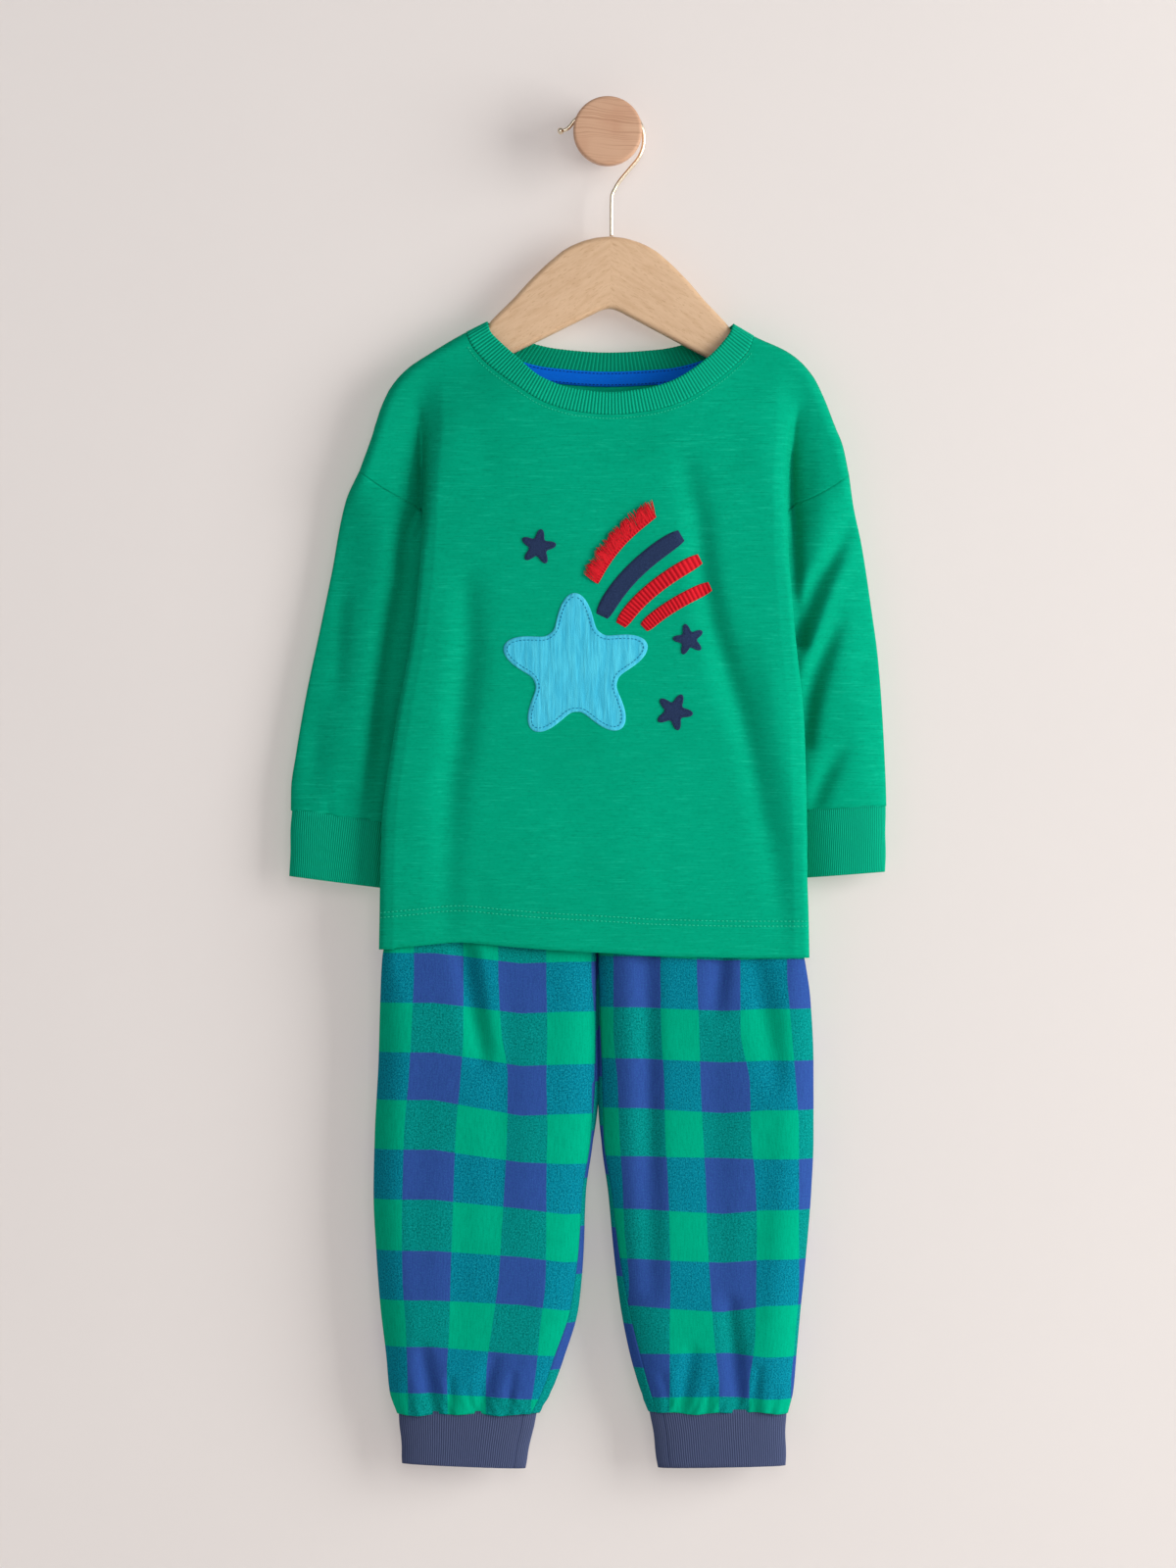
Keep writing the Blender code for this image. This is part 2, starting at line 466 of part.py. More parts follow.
def wall_normals(grid, closed):
    """Outward normals of a grid of points. At a grid's edges they are carried on past the last
    facet, so that two pieces meeting at a seam have their edges cut alike."""
    rows, columns = grid.shape[:2]
    corners = (grid[:-1, :-1], grid[:-1, 1:], grid[1:, 1:], grid[1:, :-1])
    facet = np.cross(corners[2] - corners[0], corners[3] - corners[1])
    normals = np.zeros_like(grid)
    normals[:-1, :-1] += facet
    normals[:-1, 1:] += facet
    normals[1:, 1:] += facet
    normals[1:, :-1] += facet
    if closed:
        both = normals[:, 0] + normals[:, -1]
        normals[:, 0] = both
        normals[:, -1] = both
    normals /= np.maximum(np.linalg.norm(normals, axis=2, keepdims=True), 1e-12)
    if not closed and columns > 2:
        normals[:, 0] = 2 * normals[:, 0] - normals[:, 1]
        normals[:, -1] = 2 * normals[:, -1] - normals[:, -2]
    if rows > 2:
        normals[0] = 2 * normals[0] - normals[1]
        normals[-1] = 2 * normals[-1] - normals[-2]
    return normals / np.maximum(np.linalg.norm(normals, axis=2, keepdims=True), 1e-12)


def add_cloth(name, sheets, thickness, colour, roughness, flip=False, closed=False):
    """A wall of cloth: grids of outer points, joined where they meet, with an inner face behind
    them and a rim along every free edge."""
    merged = {}
    outer = []
    normals = []
    faces = []
    for sheet in sheets:
        grid = np.asarray(sheet, float)
        outward = wall_normals(grid, closed) * (-1 if flip else 1)
        rows, columns = grid.shape[:2]
        index = np.empty((rows, columns), int)
        for i in range(rows):
            for j in range(columns):
                key = tuple(np.round(grid[i, j] * 1e6).astype(int))
                if key not in merged:
                    merged[key] = len(outer)
                    outer.append(grid[i, j])
                    normals.append(np.zeros(3))
                index[i, j] = merged[key]
                normals[merged[key]] += outward[i, j]
        for i in range(rows - 1):
            for j in range(columns - 1):
                quad = [index[i, j], index[i, j + 1], index[i + 1, j + 1], index[i + 1, j]]
                face = [v for k, v in enumerate(quad) if v != quad[k - 1]]
                if len(face) > 2:
                    faces.append(face[::-1] if flip else face)
    outer = np.array(outer)
    normals = np.array(normals)
    normals /= np.linalg.norm(normals, axis=1, keepdims=True)
    count = len(outer)
    edges = {(a, b) for face in faces for a, b in zip(face, face[1:] + face[:1])}
    rim = [(b, a, a + count, b + count) for a, b in edges if (b, a) not in edges]
    back = [[v + count for v in face[::-1]] for face in faces]
    points = np.concatenate([outer, outer - normals * thickness])
    return add_object(name, mesh_from(name, points, faces + back + sorted(rim)), colour, roughness)


def add_ribbed_ring(name, rings, inner_step, wall, rise, colour, roughness):
    """A closed band: outer rings with every other point raised, plain inner rings with fewer points.
    Rings run from one edge of the band to the other."""
    rings = np.asarray(rings, float)
    count = rings.shape[1]
    across = np.gradient(rings, axis=0)
    around = np.roll(rings, -1, axis=1) - np.roll(rings, 1, axis=1)
    out = np.cross(around, across)
    out /= np.linalg.norm(out, axis=2, keepdims=True)
    raised = (np.arange(count) % 2)[None, :, None]
    outer = rings + out * rise * raised
    inner = (rings - out * wall)[[0, -1]][:, ::inner_step]
    few = inner.shape[1]
    points = np.concatenate([outer.reshape(-1, 3), inner.reshape(-1, 3)])
    faces = []
    for i in range(len(rings) - 1):
        for j in range(count):
            k = (j + 1) % count
            faces.append((i * count + j, i * count + k, (i + 1) * count + k, (i + 1) * count + j))
    base = len(rings) * count
    for j in range(few):
        k = (j + 1) % few
        faces.append((base + k, base + j, base + few + j, base + few + k))
    for ring, first, turned in ((0, base, False), (len(rings) - 1, base + few, True)):
        for j in range(few):
            fan = [ring * count + (j * inner_step + m) % count for m in range(inner_step + 1)]
            for a, b in zip(fan[:-1], fan[1:]):
                faces.append((first + j, b, a) if not turned else (first + j, a, b))
            last = (first + j, first + (j + 1) % few, fan[-1])
            faces.append(last if not turned else last[::-1])
    return add_object(name, mesh_from(name, points, faces), colour, roughness, smooth_angle=0)



# the top


def shoulder_line(side):
    return [(side * p.out, p.z) for p in SHOULDER[side]]


def curl(away):
    """How far the cloth has rounded the hanger, from 0 on the ridge to 1."""
    t = min(away / CURL, 1.0)
    return (1.0 - (1.0 - t) ** CURL_POWER) ** (1.0 / CURL_POWER)


def ridge_distance(x, z):
    return min(distance_to(shoulder_line(-1), x, z), distance_to(shoulder_line(1), x, z))


def front_depth(x, z, layer):
    """Depth of the front at a place, given the depth it hangs at well below the shoulder."""
    away = ridge_distance(x, z)
    hang = mix(NEAR_FRONT_Y, layer, ease(away / FULL_DEPTH_BELOW))
    return RIDGE_Y + (hang - RIDGE_Y) * curl(away)


def fold_strength(z):
    """1 where the body's side is folded back, 0 where the cloth is spread."""
    return 1.0 - ease((z - UNDERARM_Z) / (FOLD_TOP_Z - UNDERARM_Z))


def fold_line(side, z):
    row = section(TOP, z)
    return row.right if side > 0 else -row.left


def body_layer(x, z):
    """Depth at which the body's front hangs between its fold lines."""
    row = section(TOP, z)
    half = (row.right - row.left) / 2
    across = (x - (row.left + row.right) / 2) / half
    crown = row.crown * max(0.0, 1.0 - across * across)
    return row.front - crown + trough(TOP_CREASES, x, z)


def side_point(side, column, z):
    """A point of the front on one of the side columns."""
    row = section(TOP, z)
    line = fold_line(side, z)
    folded = fold_strength(z)
    wrap = row.wrap
    spread_out = line + column.spread
    folded_out = line - column.fold * (wrap if column.drop > 0.006 else 1.0)
    out = mix(spread_out, folded_out, folded)
    open_share = ease((column.spread + FOLD_OPEN / 2) / FOLD_OPEN)
    spread_y = mix(row.front, WING_Y, open_share * ease((FOLD_TOP_Z + 0.04 - z) / 0.05 + 0.35))
    layer = mix(spread_y, row.front + column.drop, folded)
    x = side * out
    return np.array((x, front_depth(x, z, layer), z))


def neck_corner(side):
    corner = NECK_SEAM_FRONT[0 if side < 0 else -1]
    return corner.x, corner.z


def shoulder_z(side, out):
    line = SHOULDER[side]
    return float(np.interp(out, [p.out for p in line], [p.z for p in line]))


def middle_x(u, z):
    """X of a middle column: u is -1 to 1 between the first side columns."""
    row = section(TOP, z)
    inset = SIDE[0].fold
    return mix(row.left + inset, row.right - inset, (u + 1) / 2)


def neck_share():
    """Where the neck corner lies among the middle columns."""
    row = section(TOP, neck_corner(-1)[1])
    half = (row.right - row.left) / 2 - SIDE[0].fold
    centre = (row.left + row.right) / 2
    return [(side * (neck_corner(side)[0] - centre)) / half for side in (-1, 1)]


def middle_columns(steps):
    left, right = neck_share()
    turns = [math.sin(math.pi / 2 * k / steps) for k in range(steps + 1)]
    return [-left * t for t in turns[:0:-1]] + [right * t for t in turns]


def seat_corner(points, u):
    """Puts the top of the two outermost middle columns on the neck corners, which lie on the ridge."""
    left, right = neck_share()
    for side, share in ((-1, -left), (1, right)):
        if abs(u - share) < 0.00001:
            x, z = neck_corner(side)
            points[-1] = np.array((x, RIDGE_Y, z))
    return points


def hem_z(x):
    return float(smooth([p.x for p in HEM], [p.z for p in HEM], x))


def along_shoulder(side, start_out, share):
    """Outline point a share of the way from a point of the shoulder seam to the armhole's tip."""
    line = [(start_out, shoulder_z(side, start_out))]
    line += [(p.out, p.z) for p in SHOULDER[side] if p.out > start_out + 0.001]
    dense = resample(line, 101)
    return dense[int(round(share * 100))]


def armhole_point(side, share):
    """Point of the armhole seam, from the fold's foot to the tip."""
    start = side_point(side, UNDER[-1], UNDER_FOOT[side])
    tip = SHOULDER[side][-1]
    out = mix(side * start[0], tip.out, share)
    z = mix(start[2], tip.z, share) - ARMHOLE_SAG * math.sin(math.pi * share)
    return out, z


def upper_rows(bottom, top):
    return [mix(bottom, top, r) for r in ROWS_ABOVE]


def side_grid_above(side, column, bottom):
    out_top = fold_line(side, COLLAR_Z) + column.spread
    top = shoulder_z(side, out_top)
    points = [side_point(side, column, z) for z in upper_rows(bottom, top)]
    points[-1] = np.array((side * out_top, RIDGE_Y, top))
    return points


def wing_xz(side, share):
    """A wing column, from the armhole seam to the shoulder seam, as out and z."""
    start_out = fold_line(side, COLLAR_Z) + UNDER[-1].spread
    top = along_shoulder(side, start_out, share)
    bottom = armhole_point(side, share)
    return [(mix(bottom[0], top[0], r), mix(bottom[1], top[1], r)) for r in ROWS_ABOVE]


def wing_columns(side):
    """Columns of the front beyond the underarm, seam column first."""
    foot = UNDER_FOOT[side]
    middle = mix(UNDERARM_Z, foot, UNDER_MIDDLE)
    columns = [
        side_grid_above(side, SIDE[-1], UNDERARM_Z),
        side_grid_above(side, UNDER[0], middle),
        side_grid_above(side, UNDER[1], foot),
    ]
    for share in WING_STEPS:
        column = []
        for out, z in wing_xz(side, share):
            x = side * out
            column.append(np.array((x, front_depth(x, z, WING_Y), z)))
        columns.append(column)
    return columns


def front_neck_z(x):
    line = NECK_SEAM_FRONT
    return float(smooth([p.x for p in line], [p.z for p in line], x))


def back_neck_z(x):
    line = NECK_SEAM_BACK
    return float(smooth([p.x for p in line], [p.z for p in line], x))


def body_columns_front():
    """All columns of the front's body from the left side seam to the right one, hem to top."""
    columns = []
    for column in SIDE[::-1]:
        columns.append(body_side_column(-1, column))
    for u in middle_columns(NECK_STEPS):
        columns.append(body_middle_column(u))
    for column in SIDE:
        columns.append(body_side_column(1, column))
    return columns


def body_side_column(side, column):
    below = []
    hem = hem_z(side * (fold_line(side, HEM_Z) - column.fold * 0.3))
    for share in ROWS_BELOW[:-1]:
        below.append(side_point(side, column, mix(hem, UNDERARM_Z, share)))
    return below + side_grid_above(side, column, UNDERARM_Z)


def body_middle_column(u):
    hem = hem_z(middle_x(u, HEM_Z))
    heights = [mix(hem, UNDERARM_Z, share) for share in ROWS_BELOW[:-1]]
    top_x = middle_x(u, COLLAR_Z)
    heights += upper_rows(UNDERARM_Z, front_neck_z(top_x))
    points = []
    for z in heights:
        x = middle_x(u, z)
        points.append(np.array((x, front_depth(x, z, body_layer(x, z)), z)))
    return seat_corner(points, u)


def seam_gap_at_ridge(points, direction):
    """Moves the points that lie on the shoulder seam off its plane, so front and back stay apart."""
    points = np.array(points)
    near = np.abs(points[..., 1] - RIDGE_Y) < 0.0002
    points[..., 1] = np.where(near, RIDGE_Y + direction * SEAM_GAP / 2, points[..., 1])
    return points


def make_top_front():
    body = seam_gap_at_ridge(body_columns_front(), -1)
    start = len(ROWS_BELOW) - 1
    sheets = [body]
    for side in (-1, 1):
        wing = seam_gap_at_ridge(wing_columns(side), -1)
        wing[0] = body[0 if side < 0 else -1][start:]
        sheets.append(wing[::-1] if side < 0 else wing)
    return add_cloth("top_front", sheets, JERSEY, GREEN, 0.85, flip=True)


def seam_column(side):
    """The side seam, from hem to underarm, as the front has it."""
    return np.array(body_side_column(side, SIDE[-1])[: len(ROWS_BELOW)])


def back_depth(side, x, z, seam):
    """Depth of the back: level, rounded over the hanger, and drawn forward to the side seams."""
    row = section(TOP, z)
    away = ridge_distance(x, z)
    level = mix(NEAR_BACK_Y, row.back, ease(away / FULL_DEPTH_BELOW))
    y = RIDGE_Y + (level - RIDGE_Y) * curl(away)
    line = [(p[0], p[2]) for p in seam] + [(seam[-1][0], UNDERARM_Z + BACK_DRAW_ABOVE)]
    seam_y = float(np.interp(z, seam[:, 2], seam[:, 1])) + SEAM_GAP * 1.4
    seam_y += UNDERARM_EASE * math.exp(-(((z - UNDERARM_Z) / 0.012) ** 2))
    near = 1.0 - min(distance_to(line, x, z) / BACK_DRAW, 1.0)
    drawn = (1.0 - math.sqrt(1.0 - near * near)) * (1.0 - ease((z - UNDERARM_Z) / BACK_DRAW_ABOVE))
    return mix(y, seam_y, drawn)


def back_side_column(side, inward, seam):
    points = []
    for p in seam[:-1]:
        x = p[0] - side * inward
        points.append(np.array((x, back_depth(side, x, p[2], seam), p[2])))
    out_bottom = side * seam[-1][0] - inward
    spread = SIDE[-1].spread - inward * 0.9
    out_top = fold_line(side, COLLAR_Z) + spread
    top = shoulder_z(side, out_top)
    for r in ROWS_ABOVE:
        z = mix(UNDERARM_Z, top, r)
        out = mix(out_bottom, out_top, ease(r / 0.8))
        x = side * out
        points.append(np.array((x, back_depth(side, x, z, seam), z)))
    return points


def back_x(u, z, seams):
    """X of a middle column of the back, which keeps clear of the drawn-in sides."""
    left, right = neck_share()
    low, high = (float(np.interp(z, seams[s][:, 2], seams[s][:, 0])) - s * BACK_INSET for s in (-1, 1))
    share = -u / left if u < 0 else u / right
    drawn = mix((low + high) / 2, high if u > 0 else low, share)
    return mix(drawn, middle_x(u, z), ease((z - UNDERARM_Z) / 0.120))


def back_middle_column(u, seams):
    hem = hem_z(back_x(u, HEM_Z, seams))
    heights = [mix(hem, UNDERARM_Z, share) for share in ROWS_BELOW[:-1]]
    heights += upper_rows(UNDERARM_Z, back_neck_z(middle_x(u, COLLAR_Z)))
    side = -1 if u < 0 else 1
    points = []
    for z in heights:
        x = back_x(u, z, seams)
        points.append(np.array((x, back_depth(side, x, z, seams[side]), z)))
    return seat_corner(points, u)


def back_wing(side, seam, seam_points):
    columns = [seam_points[len(ROWS_BELOW) - 1 :]]
    for column in wing_columns(side)[1:]:
        columns.append([np.array((p[0], back_depth(side, p[0], p[2], seam), p[2])) for p in column])
    return columns


def make_top_back():
    seams = {side: seam_column(side) for side in (-1, 1)}
    left = [back_side_column(-1, inward, seams[-1]) for inward in BACK_SIDE]
    right = [back_side_column(1, inward, seams[1]) for inward in BACK_SIDE[::-1]]
    middle = [back_middle_column(u, seams) for u in middle_columns(BACK_NECK_STEPS)]
    above = len(ROWS_BELOW) - 1
    for side, columns in ((-1, left), (1, right)):
        edge = columns[0 if side < 0 else -1]
        front_edge = side_grid_above(side, SIDE[-1], UNDERARM_Z)
        for i, p in enumerate(front_edge):
            edge[above + i] = np.array((p[0], back_depth(side, p[0], p[2], seams[side]), p[2]))
    body = seam_gap_at_ridge(left + middle + right, 1)
    sheets = [body]
    for side in (-1, 1):
        edge = body[0 if side < 0 else -1]
        wing = seam_gap_at_ridge(back_wing(side, seams[side], list(edge)), 1)
        sheets.append(wing[::-1] if side < 0 else wing)
    return add_cloth("top_back", sheets, JERSEY, GREEN, 0.85)


def armhole_loop(side):
    """The armhole seam as a ring: along the front from tip to underarm, and back along the back."""
    front = [column[0] for column in wing_columns(side)][::-1]
    seam = seam_column(side)
    back = [np.array((p[0], back_depth(side, p[0], p[2], seam), p[2])) for p in front[1:-1]][::-1]
    return np.array(front), np.array(back)


def sleeve_edge(side, share):
    table = SLEEVE[side]
    z = mix(table[0].z, table[-1].z, share)
    return section(table, z)


def make_sleeve(side, name):
    front, back = armhole_loop(side)
    tip = front[0]
    under = front[-1]
    ring0 = np.concatenate([front, back])
    shares = (ring0[:, 0] - tip[0]) / (under[0] - tip[0])
    is_front = np.arange(len(ring0)) < len(front)
    rings = []
    for step in range(SLEEVE_STEPS + 1):
        share = step / SLEEVE_STEPS
        row = sleeve_edge(side, share)
        hold = 1.0 - ease(share / 0.3)
        hold_depth = 1.0 - ease(share / 0.13)
        ring = []
        for i, across in enumerate(shares):
            out = mix(row.outer, row.inner, across)
            z = row.z + row.slant * across
            middle = (row.front + row.back) / 2
            depth = (row.back - row.front) / 2
            bulge = max(0.0, 1.0 - abs(2 * across - 1) ** SLEEVE_POWER) ** (1 / SLEEVE_POWER)
            y = middle - depth * bulge if is_front[i] else middle + depth * bulge
            place = np.array((side * out, y, z))
            start = ring0[i] + np.array((0.0, 0.0, row.z - tip[2] - SEAM_GAP * 1.8))
            start[0] += side * (row.outer - SLEEVE[side][0].outer)
            start[:2] += np.array((side, 1.0)) * SEAM_GAP * 1.5 * across**3
            share_of = np.array((hold, hold_depth, hold))
            ring.append(place * (1 - share_of) + start * share_of)
        ring.append(ring[0])
        rings.append(ring)
    return add_cloth(name, [rings], JERSEY, GREEN, 0.85, flip=side < 0, closed=True)


def oval(row, side, count, power, start_turn=0.0):
    """A flattened round section as count points, evenly spaced along it."""
    middle_out = (row.outer + row.inner) / 2
    half = (row.outer - row.inner) / 2
    middle_y = (row.front + row.back) / 2
    depth = (row.back - row.front) / 2
    dense = []
    for k in range(721):
        angle = math.radians(k / 2) + start_turn
        c = math.cos(angle)
        s = math.sin(angle)
        across = math.copysign(abs(c) ** (2 / power), c)
        out = middle_out + half * across
        y = middle_y - depth * math.copysign(abs(s) ** (2 / power), s)
        z = row.z + row.slant * (1 - across) / 2
        dense.append((side * out, y, z))
    return resample(dense, count + 1)[:-1]


def make_cuff(name, table, side, ribs, colour):
    rings = [oval(row, side, ribs * 2, CUFF_POWER) for row in table]
    rings = np.array(rings)
    if side < 0:
        rings = rings[:, ::-1]
    return add_ribbed_ring(name, rings, CUFF_INNER_STEP, RIB_WALL, RIB_RISE, colour, 0.9)


def neck_free_edge():
    """The neck rib's free edge as a closed ring: along the front, and back along the back."""
    halves = []
    for line, depth, count in (
        (NECK_FREE_FRONT, lambda x, z: front_depth(x, z, body_layer(x, z)), NECK_RIBS_FRONT),
        (NECK_FREE_BACK[::-1], neck_back_depth, NECK_RIBS_BACK),
    ):
        steps = [math.hypot(b.x - a.x, b.z - a.z) for a, b in zip(line, line[1:])]
        knots = np.concatenate([[0.0], np.cumsum(steps)])
        dense = []
        for reach in np.linspace(0.0, knots[-1], 241):
            x = float(smooth(knots, [p.x for p in line], reach))
            z = float(smooth(knots, [p.z for p in line], reach))
            dense.append((x, depth(x, z), z))
        halves.append(resample(dense, count * 2 + 1)[:-1])
    return np.concatenate(halves)


def neck_seam_edge():
    """The neckline that the front and the back leave open, as a ring of the same points."""
    seams = {side: seam_column(side) for side in (-1, 1)}
    front = [body_middle_column(u)[-1] for u in middle_columns(NECK_STEPS)]
    back = [back_middle_column(u, seams)[-1] for u in middle_columns(BACK_NECK_STEPS)]
    front_ring = resample(front, NECK_RIBS_FRONT * 2 + 1)[:-1]
    back_ring = resample(back[::-1], NECK_RIBS_BACK * 2 + 1)[:-1]
    return np.concatenate([front_ring, back_ring])


def neck_back_depth(x, z):
    away = ridge_distance(x, z)
    level = mix(NEAR_BACK_Y, section(TOP, z).back, ease(away / FULL_DEPTH_BELOW))
    return RIDGE_Y + (level - RIDGE_Y) * curl(away)


def make_neckband():
    seam = neck_seam_edge()
    free = neck_free_edge()
    run = free - seam
    seam = seam + run / np.linalg.norm(run, axis=1, keepdims=True) * SEAM_GAP * 1.3
    rings = np.array([seam, free])
    return add_ribbed_ring("neckband", rings, NECK_INNER_STEP, RIB_WALL, RIB_RISE, RIB_GREEN, 0.9)


def make_tape():
    """Tape over the back neck seam, lying on the inside of the back."""
    rows = []
    for drop in (-TAPE_LAP, TAPE_WIDTH):
        row = []
        for k in range(TAPE_STEPS + 1):
            x = mix(-TAPE_HALF, TAPE_HALF, k / TAPE_STEPS) + HANGER_CENTRE[0]
            z = back_neck_z(x) - drop
            y = neck_back_depth(x, z) - RIB_WALL - SEAM_GAP
            row.append((x, y, z))
        rows.append(row)
    return add_cloth("neck_tape", [rows], PATCH, BLUE, 0.7)


def make_tab():
    half = TAB["width"] / 2
    top = back_neck_z(TAB["x"]) - TAPE_WIDTH - SEAM_GAP * 1.5
    y = neck_back_depth(TAB["x"], top) - JERSEY - SEAM_GAP
    rows = [[(TAB["x"] + s * half, y, z) for s in (-1, 1)] for z in (top, top - TAB["drop"])]
    return add_cloth("size_tab", [rows], PATCH, BLUE, 0.7)


# applique


def cloth_under(piece):
    """Reads a front's outer face: gives the point of the cloth behind any place in front of it."""
    work = bmesh.new()
    work.from_mesh(piece.data)
    tree = BVHTree.FromBMesh(work)
    work.free()

    def lift(x, z, height):
        place, normal, _, _ = tree.ray_cast(Vector((x, -1.0, z)), Vector((0, 1, 0)))
        if normal.y > 0:
            normal = -normal
        return place + normal * height

    return lift


def add_patch(name, outline, middle, lift, thickness, colour, roughness, shares):
    """A flat piece sewn on: rings from its middle to its outline, on the cloth and thickened out."""
    rows = []
    for share in shares:
        row = []
        for x, z in outline:
            row.append(lift(mix(middle[0], x, share), mix(middle[1], z, share), PATCH_GAP + thickness))
        rows.append(row + [row[0]])
    return add_cloth(name, [rows], thickness, colour, roughness, flip=True, closed=True)


def star_outline(star):
    """Five rounded tips: the radius swings between valley and tip."""
    outline = []
    total = 5 * STAR_POINTS
    for k in range(total):
        swing = (1 + math.cos(math.radians(360 * 5 * k / total))) / 2
        radius = mix(star["valley"], star["tip"], swing**1.35)
        angle = math.radians(star["turn"] + 360 * k / total)
        outline.append((star["x"] + radius * math.cos(angle), star["z"] + radius * math.sin(angle)))
    return outline


def band_point(band, share, across):
    """A place on a curved band: share along it, across from -1 to 1 of its half width."""
    a = (1 - share) ** 2
    b = 2 * share * (1 - share)
    c = share**2
    x = a * band.x0 + b * band.x1 + c * band.x2
    z = a * band.z0 + b * band.z1 + c * band.z2
    dx = 2 * (1 - share) * (band.x1 - band.x0) + 2 * share * (band.x2 - band.x1)
    dz = 2 * (1 - share) * (band.z1 - band.z0) + 2 * share * (band.z2 - band.z1)
    length = math.hypot(dx, dz)
    return x - dz / length * across * band.width / 2, z + dx / length * across * band.width / 2


def band_rows(band, lift, ridges=0):
    """A curved strip with rounded ends; ridges are raised in its outer points, across it."""
    steps = BAND_STEPS if not ridges else ridges * 2
    rows = []
    for across in (-1.0, -0.55, 0.55, 1.0):
        row = []
        for k in range(steps + 1):
            share = k / steps
            end = abs(2 * share - 1) ** 8
            x, z = band_point(band, share, across * (1 - 0.3 * end))
            rise = RIB_RISE if ridges and k % 2 and abs(across) < 0.9 else 0.0
            row.append(lift(x, z, PATCH_GAP + PATCH + rise))
        rows.append(row)
    return rows


def add_ridged_band(name, band, lift, colour, ridges):
    """The strip's outer points carry the ridges; its underside is plain."""
    outer = band_rows(band, lift, ridges)
    under = []
    for across in (-1.0, 1.0):
        row = []
        for k in range(ridges * 2 + 1):
            share = k / (ridges * 2)
            end = abs(2 * share - 1) ** 8
            x, z = band_point(band, share, across * (1 - 0.3 * end))
            row.append(lift(x, z, PATCH_GAP))
        under.append(row)
    points = [p for row in outer + under for p in row]
    count = ridges * 2 + 1
    faces = []
    order = [0, 1, 2, 3, 5, 4]
    for a, b in zip(order, order[1:] + order[:1]):
        for k in range(count - 1):
            faces.append((a * count + k, a * count + k + 1, b * count + k + 1, b * count + k))
    ends = [[r * count + k for r in order] for k in (0, count - 1)]
    faces.append(tuple(ends[0]))
    faces.append(tuple(ends[1][::-1]))
    return add_object(name, mesh_from(name, points, faces), colour, 0.8, smooth_angle=0)


def add_fringe(name, band, lift, colour):
    """A narrow strip whose one edge carries the strands, drawn out of the strip's own edge faces."""
    work = bmesh.new()
    low = PATCH_GAP
    high = PATCH_GAP + PATCH
    columns = []
    for k in range(STRANDS + 1):
        for part in (-1, 1):
            share = (k + part * STRAND_GAP_SHARE / 2) / STRANDS
            if 0.0 <= share <= 1.0:
                columns.append(share)
    rings = []
    for share in columns:
        corners = []
        for across, height in ((-1, low), (-1, high), (1, high), (1, low)):
            x, z = band_point(band, share, across)
            corners.append(work.verts.new(lift(x, z, height)))
        rings.append(corners)
    edge_faces = []
    for a, b in zip(rings[:-1], rings[1:]):
        for i in range(4):
            j = (i + 1) % 4
            face = work.faces.new((a[i], b[i], b[j], a[j]))
            if i == 2:
                edge_faces.append(face)
    work.faces.new(rings[0])
    work.faces.new(rings[-1][::-1])
    bmesh.ops.recalc_face_normals(work, faces=work.faces)
    wave = np.random.default_rng(7)
    strands = edge_faces[::2]
    for number, face in enumerate(strands):
        share = (number + 0.5) / len(strands)
        root = face.calc_center_median()
        x, z = band_point(band, share, 1.0)
        x2, z2 = band_point(band, share, 2.0)
        lean = STRAND_LEAN + STRAND_LEAN_SWING * math.sin(number * 0.9) + float(wave.normal(0, 0.03))
        along = band_point(band, min(share + 0.01, 1.0), 1.0)
        back = band_point(band, max(share - 0.01, 0.0), 1.0)
        out = np.array((x2 - x, z2 - z))
        out /= np.linalg.norm(out)
        run = np.array((along[0] - back[0], along[1] - back[1]))
        run /= np.linalg.norm(run)
        way = out + run * lean
        way /= np.linalg.norm(way)
        length = STRAND_LENGTH * (1.0 + float(wave.uniform(-0.18, 0.12)))
        end_x, end_z = np.array((root.x, root.z)) + way * length
        end = lift(float(end_x), float(end_z), PATCH_GAP + PATCH * 1.6 + float(wave.uniform(0.0, 0.0010)))
        grown = bmesh.ops.extrude_discrete_faces(work, faces=[face])["faces"][0]
        middle = grown.calc_center_median()
        for corner in grown.verts:
            corner.co = end + (corner.co - middle) * 0.45
    mesh = bpy.data.meshes.new(name)
    bmesh.ops.recalc_face_normals(work, faces=work.faces)
    work.to_mesh(mesh)
    work.free()
    return add_object(name, mesh, colour, 0.85, smooth_angle=0)


def make_applique(front):
    lift = cloth_under(front)
    middle = (STAR["x"], STAR["z"])
    add_patch("star_patch", star_outline(STAR), middle, lift, PATCH, TURQUOISE, 0.85, (0, 0.6, 1))
    for number, star in enumerate(SMALL_STARS, start=1):
        outline = star_outline(star)[::2]
        add_patch(f"small_star_{number}", outline, (star["x"], star["z"]), lift, PATCH, NAVY, 0.95, (0, 1))
    add_cloth("tail_felt", [band_rows(FELT_BAND, lift)], PATCH, NAVY, 0.95)
    add_ridged_band("tail_rib_upper", RIB_BANDS[0], lift, RED, 12)
    add_ridged_band("tail_rib_lower", RIB_BANDS[1], lift, RED, 10)
    add_fringe("tail_fringe", FRINGE_BAND, lift, RED)


# trousers


def leg_section(side, z):
    width = section(LEG_WIDTH[side], z)
    depth = section(LEG_DEPTH, z)
    return LegSection(**{**depth._asdict(), **width._asdict()})


def rise(z):
    """0 on the straight part of the centre seams, 1 at the crotch and below it."""
    return ease((RISE_TOP_Z - z) / (RISE_TOP_Z - CROTCH_Z))


def inner_turn(row, z, face):
    """How far the leg's inner edge is turned in depth from its front or its back."""
    whole = abs((row.front + row.back) / 2 - face)
    return mix(RISE_TURN, whole, rise(z))


